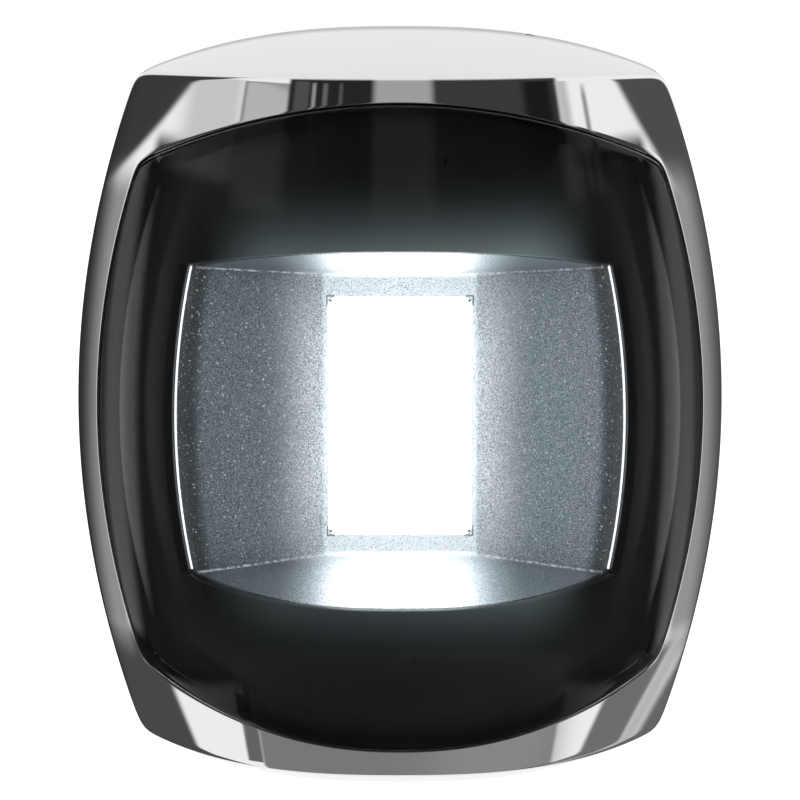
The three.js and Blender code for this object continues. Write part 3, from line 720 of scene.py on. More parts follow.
# %% Build the corner clips
clip_front = diffuser_low.y - 0.18 * MM
clips = []
for side in (-1, 1):
    for end in (-1, 1):
        x, z = side * diffuser_high.x, end * diffuser_high.z
        for low, high in (
            ((x, z - end * 0.95 * MM), (x + side * 0.14 * MM, z + end * 0.14 * MM)),
            ((x - side * 0.75 * MM, z), (x + side * 0.14 * MM, z + end * 0.14 * MM)),
            ((x - side * 0.5 * MM, z - end * 0.6 * MM), (x - side * 0.18 * MM, z - end * 0.3 * MM)),
        ):
            clip = box_mesh(
                "clip",
                (min(low[0], high[0]), clip_front, min(low[1], high[1])),
                (max(low[0], high[0]), diffuser_low.y + 0.2 * MM, max(low[1], high[1])),
            )
            work = bmesh.new()
            work.from_mesh(clip.data)
            bmesh.ops.bevel(work, geom=work.edges, offset=0.03 * MM, segments=2, profile=0.5, affect="EDGES")
            work.to_mesh(clip.data)
            work.free()
            clips.append(clip)
corner_clips = joined_objects("corner_clips", *clips)
smooth_by_angle(corner_clips, 40)
print("clips:", len(corner_clips.data.polygons), "faces")

# %% [markdown]
# ## Screws
# Twelve pan-head screws of three sizes hold the inside together. Each kind is turned once as a profile, with
# a ringed shank for its thread and a cross recess, and Geometry Nodes sets a copy at every place on a body,
# turned at random as an assembler leaves them. The tree takes a seed, so that the turns never change.

# %% Turn a screw


def turned(name, profile, sides=40):
    """A closed turning about the Y axis from (radius, depth) points, both ends on the axis."""
    rings = []
    for radius, depth in profile[1:-1]:
        angles = np.linspace(0, 2 * math.pi, sides, endpoint=False)
        circle = [radius * np.cos(angles), np.full(sides, -depth), radius * np.sin(angles)]
        rings.append(np.column_stack(circle))
    vertices = np.vstack([[0, -profile[0][1], 0], *rings, [0, -profile[-1][1], 0]])
    last = len(vertices) - 1
    faces = []
    for k in range(sides):
        m = (k + 1) % sides
        faces.append((0, 1 + m, 1 + k))
        for r in range(len(rings) - 1):
            low, high = 1 + r * sides, 1 + (r + 1) * sides
            faces.append((low + k, low + m, high + m, high + k))
        top = 1 + (len(rings) - 1) * sides
        faces.append((top + k, top + m, last))
    return new_object(name, vertices, faces)


def pan_screw(name, head, head_height, shank, length):
    """Its seat is at the origin and its head faces -Y."""
    thread = 0.08 * MM
    profile = [(0, -length), (0.55 * shank, -length), (shank - thread, -length + 0.35 * MM)]
    turns = int((length - 0.6 * MM) / (0.5 * MM))
    for turn in range(turns):
        at = -length + 0.4 * MM + turn * 0.5 * MM
        profile += [(shank - thread, at), (shank, at + 0.18 * MM), (shank, at + 0.24 * MM)]
        profile += [(shank - thread, at + 0.42 * MM)]
    profile += [(shank - thread, 0), (0.96 * head, 0), (head, 0.05 * head_height), (head, 0.4 * head_height)]
    profile += [(0.97 * head, 0.55 * head_height), (0.88 * head, 0.75 * head_height)]
    profile += [(0.72 * head, 0.9 * head_height), (0.5 * head, 0.98 * head_height)]
    profile += [(0.3 * head, head_height), (0, head_height)]
    screw = turned(name, profile)
    deep, half, arm = 0.45 * head_height, 0.15 * head, 0.6 * head
    over = head_height + 0.2 * MM
    cut(
        screw,
        box_mesh("recess_a", (-arm, -over, -half), (arm, -deep, half)),
        box_mesh("recess_b", (-half, -over, -arm), (half, -deep, arm)),
    )
    return smooth_by_angle(screw, 35)


# %% A node tree that sets copies of a piece at points


def new_tree(name, inputs):
    """A node group with a geometry output and the given inputs, and its first and last nodes."""
    tree = bpy.data.node_groups.new(name, "GeometryNodeTree")
    tree.interface.new_socket("Geometry", in_out="OUTPUT", socket_type="NodeSocketGeometry")
    for label, kind in inputs.items():
        tree.interface.new_socket(label, in_out="INPUT", socket_type=f"NodeSocket{kind}")
    return tree, tree.nodes.new("NodeGroupInput"), tree.nodes.new("NodeGroupOutput")


def piece_on_points(tree, given, points, turn=None):
    copies = tree.nodes.new("GeometryNodeInstanceOnPoints")
    piece = tree.nodes.new("GeometryNodeObjectInfo")
    tree.links.new(given.outputs["Piece"], piece.inputs["Object"])
    tree.links.new(piece.outputs["Geometry"], copies.inputs["Instance"])
    tree.links.new(points, copies.inputs["Points"])
    if turn:
        tree.links.new(turn, copies.inputs["Rotation"])
    return copies.outputs["Instances"]


def realized_and_painted(tree, given, instances, result):
    real = tree.nodes.new("GeometryNodeRealizeInstances")
    paint = tree.nodes.new("GeometryNodeSetMaterial")
    tree.links.new(instances, real.inputs["Geometry"])
    tree.links.new(real.outputs["Geometry"], paint.inputs["Geometry"])
    tree.links.new(given.outputs["Finish"], paint.inputs["Material"])
    tree.links.new(paint.outputs["Geometry"], result.inputs["Geometry"])
    return tree


def grown(obj, tree, **values):
    """The object with the tree's result as its own plain mesh. Values are set by socket identifier."""
    modifier = obj.modifiers.new(tree.name, "NODES")
    modifier.node_group = tree
    for item in tree.interface.items_tree:
        if item.in_out == "INPUT" and item.name in values:
            modifier[item.identifier] = values[item.name]
    bpy.context.view_layer.update()
    return apply_modifiers(obj)


def copies_tree():
    """Geometry Nodes: an object on every point, each given its own turn, as one mesh."""
    turns = {"Facing": "Vector", "Least Turn": "Vector", "Most Turn": "Vector", "Seed": "Int"}
    tree, given, result = new_tree(
        "set_copies", {"Geometry": "Geometry", "Piece": "Object", **turns, "Finish": "Material"}
    )
    turn = tree.nodes.new("FunctionNodeRandomValue")
    turn.data_type = "FLOAT_VECTOR"
    tree.links.new(given.outputs["Least Turn"], turn.inputs[0])
    tree.links.new(given.outputs["Most Turn"], turn.inputs[1])
    tree.links.new(given.outputs["Seed"], turn.inputs["Seed"])
    total = tree.nodes.new("ShaderNodeVectorMath")
    tree.links.new(given.outputs["Facing"], total.inputs[0])
    tree.links.new(turn.outputs[0], total.inputs[1])
    instances = piece_on_points(tree, given, given.outputs["Geometry"], total.outputs["Vector"])
    return realized_and_painted(tree, given, instances, result)


set_copies = copies_tree()


no_turn = (0, 0, 0)


def place_copies(name, piece, points, material, facing=no_turn, least=no_turn, most=no_turn, seed=1):
    mesh = bpy.data.meshes.new(name)
    mesh.from_pydata([tuple(p) for p in points], [], [])
    values = {"Piece": piece, "Facing": facing, "Least Turn": least, "Most Turn": most, "Seed": seed}
    return grown(in_scene(name, mesh), set_copies, Finish=material, **values)


def drop(obj):
    bpy.data.objects.remove(obj)


def row_tree():
    """Geometry Nodes: a piece repeated in a straight row, by its count and its pitch."""
    sizes = {"Count": "Int", "Start": "Vector", "Pitch": "Vector"}
    tree, given, result = new_tree("set_row", {"Piece": "Object", **sizes, "Finish": "Material"})
    line = tree.nodes.new("GeometryNodeMeshLine")
    tree.links.new(given.outputs["Count"], line.inputs["Count"])
    tree.links.new(given.outputs["Start"], line.inputs["Start Location"])
    tree.links.new(given.outputs["Pitch"], line.inputs["Offset"])
    instances = piece_on_points(tree, given, line.outputs["Mesh"])
    return realized_and_painted(tree, given, instances, result)


set_row = row_tree()


def place_row(name, piece, count, start, pitch, material):
    values = {"Piece": piece, "Count": count, "Start": start, "Pitch": pitch}
    return grown(in_scene(name, bpy.data.meshes.new(name)), set_row, Finish=material, **values)


print("trees:", len(set_copies.nodes), "and", len(set_row.nodes), "nodes")

# %% [markdown]
# ## Finishes
# Each finish is a small tree of nodes on object coordinates, so that its grain has one true scale in
# millimetres. A helper starts every tree with the same two nodes, and each finish adds what it needs.

# %% A helper for finishes


def shader_of(material):
    return material.node_tree.nodes["Principled BSDF"]


def finish(name, color, roughness, metallic=0.0, **sockets):
    material = bpy.data.materials.new(name)
    material.use_nodes = True
    inputs = shader_of(material).inputs
    inputs["Base Color"].default_value = (*color, 1.0)
    inputs["Roughness"].default_value = roughness
    inputs["Metallic"].default_value = metallic
    for socket, value in sockets.items():
        inputs[socket.replace("_", " ")].default_value = value
    return material


def add_node(material, kind, **values):
    node = material.node_tree.nodes.new(kind)
    for key, value in values.items():
        setattr(node, key, value)
    return node


def join(material, source, target):
    material.node_tree.links.new(source, target)


def into(material, socket, source):
    """Links a source to a socket of the finish's own shader."""
    join(material, source, shader_of(material).inputs[socket])


def glows(material, color, strength):
    """Light of one colour, by a fixed strength or by a source."""
    shader_of(material).inputs["Emission Color"].default_value = (*color, 1.0)
    if isinstance(strength, float):
        shader_of(material).inputs["Emission Strength"].default_value = strength
    else:
        into(material, "Emission Strength", strength)


def grain(material, scale, detail=3.0, stretch=(1.0, 1.0, 1.0)):
    """Noise on object coordinates. Scale is in features to the metre."""
    place = add_node(material, "ShaderNodeTexCoord")
    mapping = add_node(material, "ShaderNodeMapping")
    mapping.inputs["Scale"].default_value = stretch
    noise = add_node(material, "ShaderNodeTexNoise")
    noise.inputs["Scale"].default_value = scale
    noise.inputs["Detail"].default_value = detail
    join(material, place.outputs["Object"], mapping.inputs["Vector"])
    join(material, mapping.outputs["Vector"], noise.inputs["Vector"])
    return noise.outputs["Fac"]


def spread(material, source, low, high, start=0.0, end=1.0):
    """Maps a grey value from start..end to low..high."""
    ramp = add_node(material, "ShaderNodeMapRange")
    ramp.inputs["From Min"].default_value = start
    ramp.inputs["From Max"].default_value = end
    ramp.inputs["To Min"].default_value = low
    ramp.inputs["To Max"].default_value = high
    join(material, source, ramp.inputs["Value"])
    return ramp.outputs["Result"]


def bump(material, source, height):
    """Height is in metres, for a pattern that runs from 0 to 1."""
    node = add_node(material, "ShaderNodeBump")
    node.inputs["Distance"].default_value = height
    join(material, source, node.inputs["Height"])
    into(material, "Normal", node.outputs["Normal"])


def calculate(material, operation, *values):
    node = add_node(material, "ShaderNodeMath", operation=operation)
    for socket, value in zip(node.inputs, values):
        if isinstance(value, (int, float)):
            socket.default_value = value
        else:
            join(material, value, socket)
    return node.outputs[0]


def place_of(material):
    """Object coordinates as |x|, depth and |z|, and z itself."""
    place = add_node(material, "ShaderNodeTexCoord")
    parts = add_node(material, "ShaderNodeSeparateXYZ")
    join(material, place.outputs["Object"], parts.inputs[0])
    across = calculate(material, "ABSOLUTE", parts.outputs["X"])
    depth = calculate(material, "MULTIPLY", parts.outputs["Y"], -1)
    up = calculate(material, "ABSOLUTE", parts.outputs["Z"])
    return across, depth, up, parts.outputs


def ramp_between(material, value, start, end):
    """0 at the start and 1 at the end, eased; the start may be the larger."""
    node = add_node(material, "ShaderNodeMapRange", interpolation_type="SMOOTHSTEP")
    low, high = min(start, end), max(start, end)
    node.inputs["From Min"].default_value = low
    node.inputs["From Max"].default_value = high
    node.inputs["To Min"].default_value = 0.0 if start < end else 1.0
    node.inputs["To Max"].default_value = 1.0 if start < end else 0.0
    join(material, value, node.inputs["Value"])
    return node.outputs["Result"]


def blend_color(material, factor, first, second):
    mix = add_node(material, "ShaderNodeMix", data_type="RGBA")
    join(material, factor, mix.inputs[0])
    for socket, value in ((mix.inputs[6], first), (mix.inputs[7], second)):
        if isinstance(value, tuple):
            socket.default_value = (*value, 1.0)
        else:
            join(material, value, socket)
    return mix.outputs[2]


def grained(name, color, roughness, scale, detail, height):
    """A plain finish with nothing but a fine grain in relief."""
    material = finish(name, color, roughness)
    bump(material, grain(material, scale, detail), height)
    return material


# %% Metals
polished_steel = finish("polished_steel", (0.88, 0.88, 0.89), 0.04, 1.0)
haze = grain(polished_steel, 180, 4.0)
into(polished_steel, "Roughness", spread(polished_steel, haze, 0.02, 0.065))

aluminium = finish("aluminium", (0.62, 0.63, 0.64), 0.35, 1.0)
brushing = grain(aluminium, 900, 3.0, (1.0, 1.0, 0.05))
into(aluminium, "Roughness", spread(aluminium, brushing, 0.28, 0.5))
bump(aluminium, brushing, 0.02 * MM)

screw_steel = finish("screw_steel", (0.6, 0.61, 0.63), 0.25, 1.0)
scuff = grain(screw_steel, 1200, 4.0)
into(screw_steel, "Roughness", spread(screw_steel, scuff, 0.18, 0.4))

capacitor_can = finish("capacitor_can", (0.72, 0.73, 0.74), 0.25, 1.0)
drawn = grain(capacitor_can, 700, 2.0, (1.0, 0.1, 1.0))
into(capacitor_can, "Roughness", spread(capacitor_can, drawn, 0.2, 0.36))

# %% Plastics and rubber
clear_lens = finish("clear_lens", (0.97, 0.985, 0.99), 0.0, 0.0, Transmission_Weight=1.0, IOR=1.22)

black_moulding = finish("black_moulding", (0.022, 0.022, 0.024), 0.55)
spark = grain(black_moulding, 2500, 3.0)
into(black_moulding, "Roughness", spread(black_moulding, spark, 0.45, 0.65))
bump(black_moulding, spark, 0.03 * MM)

black_rubber = finish("black_rubber", (0.018, 0.018, 0.018), 0.8)
bloom = grain(black_rubber, 1500, 4.0)
into(black_rubber, "Base Color", blend_color(black_rubber, bloom, (0.012, 0.012, 0.012), (0.03, 0.03, 0.03)))
bump(black_rubber, bloom, 0.03 * MM)

thermal_pad = grained("thermal_pad", (0.35, 0.38, 0.44), 0.85, 2000, 3.0, 0.03 * MM)

# %% [markdown]
# The chamber's coating is a metal-flake lacquer. Its colour carries painted light: it is paler on the back
# frame and the back of the walls, next to the lit panel, lighter towards the right, white where the panel's
# light floods the top and bottom walls and darker beside that, and a painted highlight runs along the seams,
# found here as the line where two walls' planes both pass through a point. It is also darker along the lip.
# Flakes of two sizes catch the light.
# Light that real flakes scatter beside the panel and above and below it is painted in as emission.

# %% The silver coating
silver_coat = finish("silver_coat", (0.3, 0.33, 0.36), 0.42, 0.35)


def silver(operation, *values):
    return calculate(silver_coat, operation, *values)


across, depth, up, raw = place_of(silver_coat)
fine_flake = spread(silver_coat, grain(silver_coat, 9000, 1.0), 0, 1, 0.42, 0.64)
# Painted light: the coat is lighter towards the right, where more light falls.
painted_light_rightward = spread(silver_coat, raw["X"], 0.0, 0.6, 0.0, 20 * MM)
between = blend_color(silver_coat, painted_light_rightward, (0.115, 0.15, 0.18), (0.24, 0.305, 0.36))
on_flake = blend_color(silver_coat, painted_light_rightward, (0.40, 0.45, 0.48), (0.80, 0.86, 0.90))
body_color = blend_color(silver_coat, fine_flake, between, on_flake)
# Painted light: paler, with specks, towards the back, where the lit panel is near.
pale = ramp_between(silver_coat, depth, 18.6 * MM, 15.2 * MM)
speck = spread(silver_coat, grain(silver_coat, 8000, 1.0), 0.1, 0.95, 0.4, 0.6)
body_color = blend_color(silver_coat, silver("MULTIPLY", pale, speck),
                         body_color, (0.95, 0.98, 1.0))
# The coat is darker along the side lips of the walls.
lip_curve = silver("MULTIPLY", silver("POWER", up, 2.0), 5.0)
dark_by_lip = ramp_between(silver_coat, silver("ADD", across, lip_curve), 20.3 * MM, 21.5 * MM)
body_color = blend_color(silver_coat, silver("MULTIPLY", dark_by_lip, 0.72),
                         body_color, (0.035, 0.04, 0.045))
bright_flake = spread(silver_coat, grain(silver_coat, 4200, 0.0), 0, 0.9, 0.72, 0.80)
body_color = blend_color(silver_coat, bright_flake, body_color, (0.85, 0.9, 0.92))
top_plane = silver("SUBTRACT", up, silver("MULTIPLY", depth, chamber_flare))
top_plane = silver("SUBTRACT", top_plane, chamber_half_height - chamber_flare * chamber_back)
side_plane = silver("SUBTRACT", across, silver("MULTIPLY", depth, chamber_slope))
side_plane = silver("ADD", side_plane, chamber_slope * chamber_back - chamber_half_width)
side_plane = silver("MULTIPLY", side_plane, math.cos(cut_off))
# Painted light on the top and bottom walls: white where the panel's light floods them, with painted shade
# beside it.
near_ends = ramp_between(silver_coat, silver("ABSOLUTE", top_plane), 0.5 * MM, 0.1 * MM)
shade = silver("MULTIPLY", near_ends, ramp_between(silver_coat, across, 7.5 * MM, 13 * MM))
body_color = blend_color(silver_coat, silver("MULTIPLY", shade, 0.5),
                         body_color, (0.10, 0.12, 0.13))
painted_light_pool = silver("MULTIPLY", near_ends, ramp_between(silver_coat, across, 10.5 * MM, 4 * MM))
body_color = blend_color(silver_coat, painted_light_pool, body_color, (0.95, 0.97, 0.98))
# A painted highlight, speckled, along the seams where two walls meet.
off_seam = silver("MAXIMUM", silver("ABSOLUTE", top_plane),
                     silver("ABSOLUTE", side_plane))
seam_highlight = ramp_between(silver_coat, off_seam, 0.26 * MM, 0.10 * MM)
seam_highlight_grain = spread(silver_coat, grain(silver_coat, 2600, 1.0), 0.15, 1, 0.4, 0.6)
seam_highlight = silver("MULTIPLY", seam_highlight, seam_highlight_grain)
seam_highlight = silver("MULTIPLY", seam_highlight, ramp_between(silver_coat, depth, 15.8 * MM, 16.4 * MM))
body_color = blend_color(silver_coat, seam_highlight, body_color, (0.95, 0.97, 1.0))
into(silver_coat, "Base Color", body_color)
frame_glow = silver("MULTIPLY", ramp_between(silver_coat, depth, 15.8 * MM, 15.52 * MM),
                       spread(silver_coat, grain(silver_coat, 7500, 1.0), 0.12, 0.6, 0.38, 0.62))
sparkle = spread(silver_coat, grain(silver_coat, 6000, 1.0), 0.1, 0.8, 0.42, 0.62)
halo = silver("MULTIPLY", ramp_between(silver_coat, across, 13.5 * MM, 8.0 * MM),
                 ramp_between(silver_coat, up, 17 * MM, 5 * MM))
flare = silver("MULTIPLY", near_ends, ramp_between(silver_coat, across, 13 * MM, 6 * MM))
spill = silver("MULTIPLY", silver("MAXIMUM", halo, flare), sparkle)
all_glow = silver("ADD", frame_glow, silver("MULTIPLY", spill, 0.75))
glows(silver_coat, (0.88, 0.95, 1.0), all_glow)
bump(silver_coat, fine_flake, 0.012 * MM)

# A painted highlight: near-white, with emission, on the chamber's lip beads.
lip_coat = finish("lip_coat", (0.95, 0.97, 1.0), 0.35, 0.5)
lip_grain = grain(lip_coat, 2600, 1.0)
into(lip_coat, "Base Color", blend_color(lip_coat, lip_grain, (0.85, 0.88, 0.9), (1.0, 1.0, 1.0)))
glows(lip_coat, (0.95, 0.98, 1.0), 1.1)

# %% [markdown]
# The mask is moulded in a black that is not quite opaque. Light from the chamber soaks into it above and
# below the window, so it glows a dull teal there and fades to black within about 10 mm. The glow is painted
# in as emission, stronger above than below.

# %% The mask's black
black_mask = finish("black_mask", (0.006, 0.0065, 0.0075), 0.3)
shader_of(black_mask).inputs["Specular IOR Level"].default_value = 0.15
mask_grain = grain(black_mask, 900, 3.0)
into(black_mask, "Roughness", spread(black_mask, mask_grain, 0.24, 0.36))
across, depth, up, raw = place_of(black_mask)
soak = calculate(black_mask, "MULTIPLY", calculate(black_mask, "SUBTRACT", 28 * MM, up), 100.0)
soak = calculate(black_mask, "POWER", calculate(black_mask, "MAXIMUM", soak, 0.0), 3.0)
soak = calculate(black_mask, "MULTIPLY", soak, ramp_between(black_mask, across, 20.5 * MM, 12 * MM))
above = spread(black_mask, raw["Z"], 0.42, 1.0, -1 * MM, 1 * MM)
soak = calculate(black_mask, "MULTIPLY", soak, above)
# Painted light: the glow is also stronger towards the right.
painted_light_rightward = spread(black_mask, raw["X"], 0.6, 1.35, -18 * MM, 18 * MM)
soak = calculate(black_mask, "MULTIPLY", soak, painted_light_rightward)
soak = calculate(black_mask, "MULTIPLY", soak, 0.13)
glows(black_mask, (0.78, 0.98, 1.0), soak)

# %% The lit diffuser
opal = finish("opal", (0.95, 0.97, 1.0), 0.35)
glow = grain(opal, 160, 1.0)
into(opal, "Base Color", blend_color(opal, glow, (0.93, 0.97, 1.0), (1.0, 1.0, 1.0)))
glows(opal, (0.93, 0.97, 1.0), 4.5)

opal_edge = finish("opal_edge", (0.86, 0.89, 0.92), 0.4)
edge_tint = blend_color(opal_edge, grain(opal_edge, 160, 1.0), (0.82, 0.86, 0.9), (0.9, 0.92, 0.95))
into(opal_edge, "Base Color", edge_tint)

# %% Boards, components and leads
white_board = grained("white_board", (0.8, 0.8, 0.77), 0.45, 800, 3.0, 0.01 * MM)
green_board = finish("green_board", (0.015, 0.11, 0.05), 0.35)
weave = grain(green_board, 500, 2.0, (1.0, 1.0, 0.2))
into(green_board, "Base Color", blend_color(green_board, spread(green_board, weave, 0, 1, 0.45, 0.55),
                              (0.012, 0.09, 0.04), (0.02, 0.14, 0.06)))
emitter_resin = grained("emitter_resin", (0.85, 0.65, 0.18), 0.25, 3000, 2.0, 0.01 * MM)
terminal_plastic = grained("terminal_plastic", (0.03, 0.22, 0.10), 0.5, 2500, 3.0, 0.02 * MM)
black_component = grained("black_component", (0.02, 0.02, 0.021), 0.45, 2500, 3.0, 0.02 * MM)
red_lead = grained("red_lead", (0.42, 0.02, 0.015), 0.45, 900, 2.0, 0.02 * MM)
black_lead = grained("black_lead", (0.015, 0.015, 0.015), 0.45, 900, 2.0, 0.02 * MM)

clip_grey = grained("clip_grey", (0.28, 0.31, 0.33), 0.4, 2500, 2.0, 0.01 * MM)
# Painted highlight: the black mask's rolled edge is given a grey colour.
roll_grey = grained("roll_grey", (0.20, 0.21, 0.22), 0.3, 2500, 2.0, 0.01 * MM)

# %% Give every node its finish
slot_finishes = {
    "polished_steel": polished_steel,
    "clear_lens": clear_lens,
    "black_mask": black_mask,
    "black_moulding": black_moulding,
    "black_rubber": black_rubber,
    "silver_chamber": silver_coat,
    "diffuser": opal,
    "aluminium": aluminium,
    "screw_steel": screw_steel,
    "thermal_pad": thermal_pad,
    "white_board": white_board,
    "green_board": green_board,
    "emitter": emitter_resin,
    "terminal_plastic": terminal_plastic,
    "black_component": black_component,
    "capacitor_can": capacitor_can,
    "red_lead": red_lead,
    "black_lead": black_lead,
}
for part in frame["record"]["subparts"]:
    nodes[part["node"]].data.materials.clear()
    nodes[part["node"]].data.materials.append(slot_finishes[part["material_slot"]])
print("finishes:", len(slot_finishes))

# %% Put the fine pieces on their bodies


def place_piece(obj, material, slot, body, *replaced):
    obj.data.materials.clear()
    obj.data.materials.append(material)
    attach(obj, body)
    if replaced:
        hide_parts(*replaced)
    return obj


place_piece(cover_shell, polished_steel, "polished_steel", "cover", "housing_cover")
place_piece(lens_shell, clear_lens, "clear_lens", "cover", "lens")
place_piece(mask_shell, black_mask, "black_mask", "cover", "lens_mask")
place_piece(chamber_shell, silver_coat, "silver_chamber", "base", "reflector")
place_piece(diffuser_panel, opal, "diffuser", "base", "diffuser")
diffuser_panel.data.materials.append(opal_edge)
for polygon in diffuser_panel.data.polygons:
    polygon.material_index = 0 if polygon.normal.y < -0.9 else 1
place_piece(lip_beads, lip_coat, "silver_chamber", "base")
place_piece(corner_clips, clip_grey, "silver_chamber", "base")
place_piece(mask_rolls, roll_grey, "black_mask", "cover")

# %% Set the screws


def fronts_of(names):
    """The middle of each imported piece's foremost face."""
    boxes = [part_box(name) for name in names]
    return [((low.x + high.x) / 2, low.y, (low.z + high.z) / 2) for low, high in boxes]


def set_screws(name, screwed, body, head, head_height, shank, length, seed, to_wall=False):
    """Copies of one screw on a body. Heads face -Y, or the wall."""
    seats = [Vector(front) + Vector((0, head_height, 0)) for front in fronts_of(screwed)]
    if to_wall:
        for seat, node in zip(seats, screwed):
            seat.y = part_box(node)[1].y - head_height
    model = pan_screw(name + "_model", head, head_height, shank, length)
    turns = {"least": (0, -quarter_turn, 0), "most": (0, quarter_turn, 0), "seed": seed}
    facing = (2 * quarter_turn if to_wall else 0, 0, 0)
    screws = place_copies(name, model, seats, screw_steel, facing, **turns)
    place_piece(screws, screw_steel, "screw_steel", body, *screwed)
    drop(model)


quarter_turn = math.pi / 2
inside_screws = [f"heat_sink_screw_{k}" for k in (1, 2, 3, 4)] + ["reflector_screw_1", "reflector_screw_2"]
board_screws = ["driver_screw_1", "driver_screw_2"]
retainers = [f"retainer_screw_{k}" for k in (1, 2, 3, 4)]
set_screws("inside_screws", inside_screws, "base", 2.3 * MM, 1.3 * MM, 1.2 * MM, 4.6 * MM, 3)
set_screws("board_screws", board_screws, "base", 1.7 * MM, 1.0 * MM, 0.8 * MM, 3.2 * MM, 5)
set_screws("retainer_screws", retainers, "cover", 1.6 * MM, 0.9 * MM, 0.75 * MM, 4.0 * MM, 7, to_wall=True)
print("screws set:", len(inside_screws) + len(board_screws) + len(retainers))

# %% [markdown]
# The terminal screws are slotted grub screws, and the cover's lock screw is a socket grub screw that enters
# from below. Each rides on its own body, because each turns.

# %% Turn the grub screws


def grub_profile(radius, length):
    """Front end at depth 0, running back."""
    thread = 0.07 * MM
    profile = [(0, -length), (0.6 * radius, -length), (radius - thread, -length + 0.3 * MM)]
    turns = int((length - 0.7 * MM) / (0.45 * MM))
    for turn in range(turns):
        at = -length + 0.35 * MM + turn * 0.45 * MM
        profile += [(radius - thread, at), (radius, at + 0.16 * MM), (radius, at + 0.22 * MM)]
        profile += [(radius - thread, at + 0.38 * MM)]
    return profile + [(radius, -0.25 * MM), (radius - 0.15 * MM, 0), (0, 0)]


for way in ("supply", "return"):
    low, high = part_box(f"terminal_screw_{way}")
    centre = (low + high) / 2
    grub = turned(f"terminal_grub_{way}", grub_profile((high.x - low.x) / 2, high.y - low.y))
    slot = box_mesh("slot", (-3 * MM, -1 * MM, -0.25 * MM), (3 * MM, 0.8 * MM, 0.25 * MM))
    cut(grub, slot)
    grub.data.transform(Matrix.Translation((centre.x, low.y, centre.z)))
    smooth_by_angle(grub, 35)
    place_piece(grub, screw_steel, "screw_steel", f"terminal_screw_{way}", f"terminal_screw_{way}")

lock_radius = (lock_high.x - lock_low.x) / 2
lock_grub = turned("lock_grub", grub_profile(lock_radius, lock_high.z - lock_low.z))
socket = cylinder_mesh("socket", 0.87 * MM, (0, -1 * MM, 0), (0, 1.2 * MM, 0), sides=6)
cut(lock_grub, socket)
down = Matrix.Rotation(math.pi / 2, 4, "X")
lock_grub.data.transform(Matrix.Translation((lock_centre.x, lock_centre.y, lock_low.z)) @ down)
smooth_by_angle(lock_grub, 35)
place_piece(lock_grub, screw_steel, "screw_steel", "lock_screw", "lock_screw")
print("lock screw:", round(2 * lock_radius / MM, 2), "mm across")

# %% [markdown]
# ## The heat sink
# An aluminium extrusion: a plate with seven fins on its back. Its fins are one shape at one pitch, so one
# tapered, round-edged fin is made and Geometry Nodes sets the row. The plate is drilled for six screws.

# %% Build the heat sink


def softened_block(name, low, high, edge, taper=0.0):
    """A block with rounded edges; taper narrows its +Y side, each side, in x."""
    obj = box_mesh(name, low, high)
    work = bmesh.new()
    work.from_mesh(obj.data)
    for vertex in work.verts:
        if taper and vertex.co.y > (low[1] + high[1]) / 2:
            vertex.co.x -= math.copysign(taper, vertex.co.x)
    bmesh.ops.bevel(work, geom=work.edges, offset=edge, segments=3, profile=0.5, affect="EDGES")
    work.to_mesh(obj.data)
    work.free()
    return smooth_by_angle(obj, 50)


sink_low, sink_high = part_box("heat_sink")
fin_height = 4.0 * MM
plate_back = sink_high.y - fin_height
plate_high = (sink_high.x, plate_back, sink_high.z)
sink_plate = softened_block("sink_plate", tuple(sink_low), plate_high, 0.25 * MM)
drill_radius = 1.5 * MM
drills = []
for x, _, z in fronts_of(inside_screws):
    start, end = (x, sink_low.y - MM, z), (x, plate_back + MM, z)
    drills.append(cylinder_mesh("drill", drill_radius, start, end, 32))
cut(sink_plate, *drills)
smooth_by_angle(sink_plate, 35)
fin_half, fin_reach, fin_root = 0.6 * MM, 14 * MM, 0.1 * MM
fin_low = (-fin_half, plate_back - fin_root, -fin_reach)
one_fin = softened_block("one_fin", fin_low, (fin_half, sink_high.y, fin_reach), 0.2 * MM, 0.12 * MM)
fin_count, fin_pitch = 7, 3.2 * MM
first_fin = -0.5 * (fin_count - 1) * fin_pitch
fins = place_row("fins", one_fin, fin_count, (first_fin, 0, 0), (fin_pitch, 0, 0), aluminium)
drop(one_fin)
heat_sink = joined_objects("sink_extrusion", sink_plate, fins)
place_piece(heat_sink, aluminium, "aluminium", "base", "heat_sink")
print("heat sink:", len(heat_sink.data.polygons), "faces")

# %% [markdown]
# ## The emitters
# Six surface-mounted packages, each a small block with a round well and a low dome of yellow resin in it.
# One is made, and Geometry Nodes sets it at every place on the board.

# %% Build the emitters
emitters = [f"led_emitter_{k}" for k in range(1, 7)]
low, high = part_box(emitters[0])
half_x, half_z, tall = (high.x - low.x) / 2, (high.z - low.z) / 2, high.y - low.y
package = softened_block("package", (-half_x, 0, -half_z), (half_x, tall, half_z), 0.06 * MM)
well_radius = 0.78 * min(half_x, half_z)
cut(package, cylinder_mesh("well", well_radius, (0, -MM, 0), (0, 0.35 * tall, 0), 40))
smooth_by_angle(package, 35)
dome_profile = [(0, -0.5 * tall), (0.99 * well_radius, -0.5 * tall), (0.99 * well_radius, -0.2 * tall)]
dome_profile += [(0.9 * well_radius, -0.12 * tall), (0.6 * well_radius, -0.04 * tall), (0, 0)]
dome = smooth_by_angle(turned("dome", dome_profile, 40), 60)
model_emitter = joined_objects("model_emitter", package, dome)
emitter_set = place_copies("emitters", model_emitter, fronts_of(emitters), emitter_resin)
drop(model_emitter)
place_piece(emitter_set, emitter_resin, "emitter", "base", *emitters)
print("emitters:", len(emitters), "at", round(well_radius / MM, 2), "mm wells")

# %% [markdown]
# ## Mouldings, boards and leads
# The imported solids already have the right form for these, but their edges are knife-sharp, and no moulding
# is. Each is copied, its flat faces are made whole again, and every sharp edge gets a small radius. The
# round leads and the soft seal under the lens are only made whole and shaded smooth.

# %% Round the edges of the plain pieces


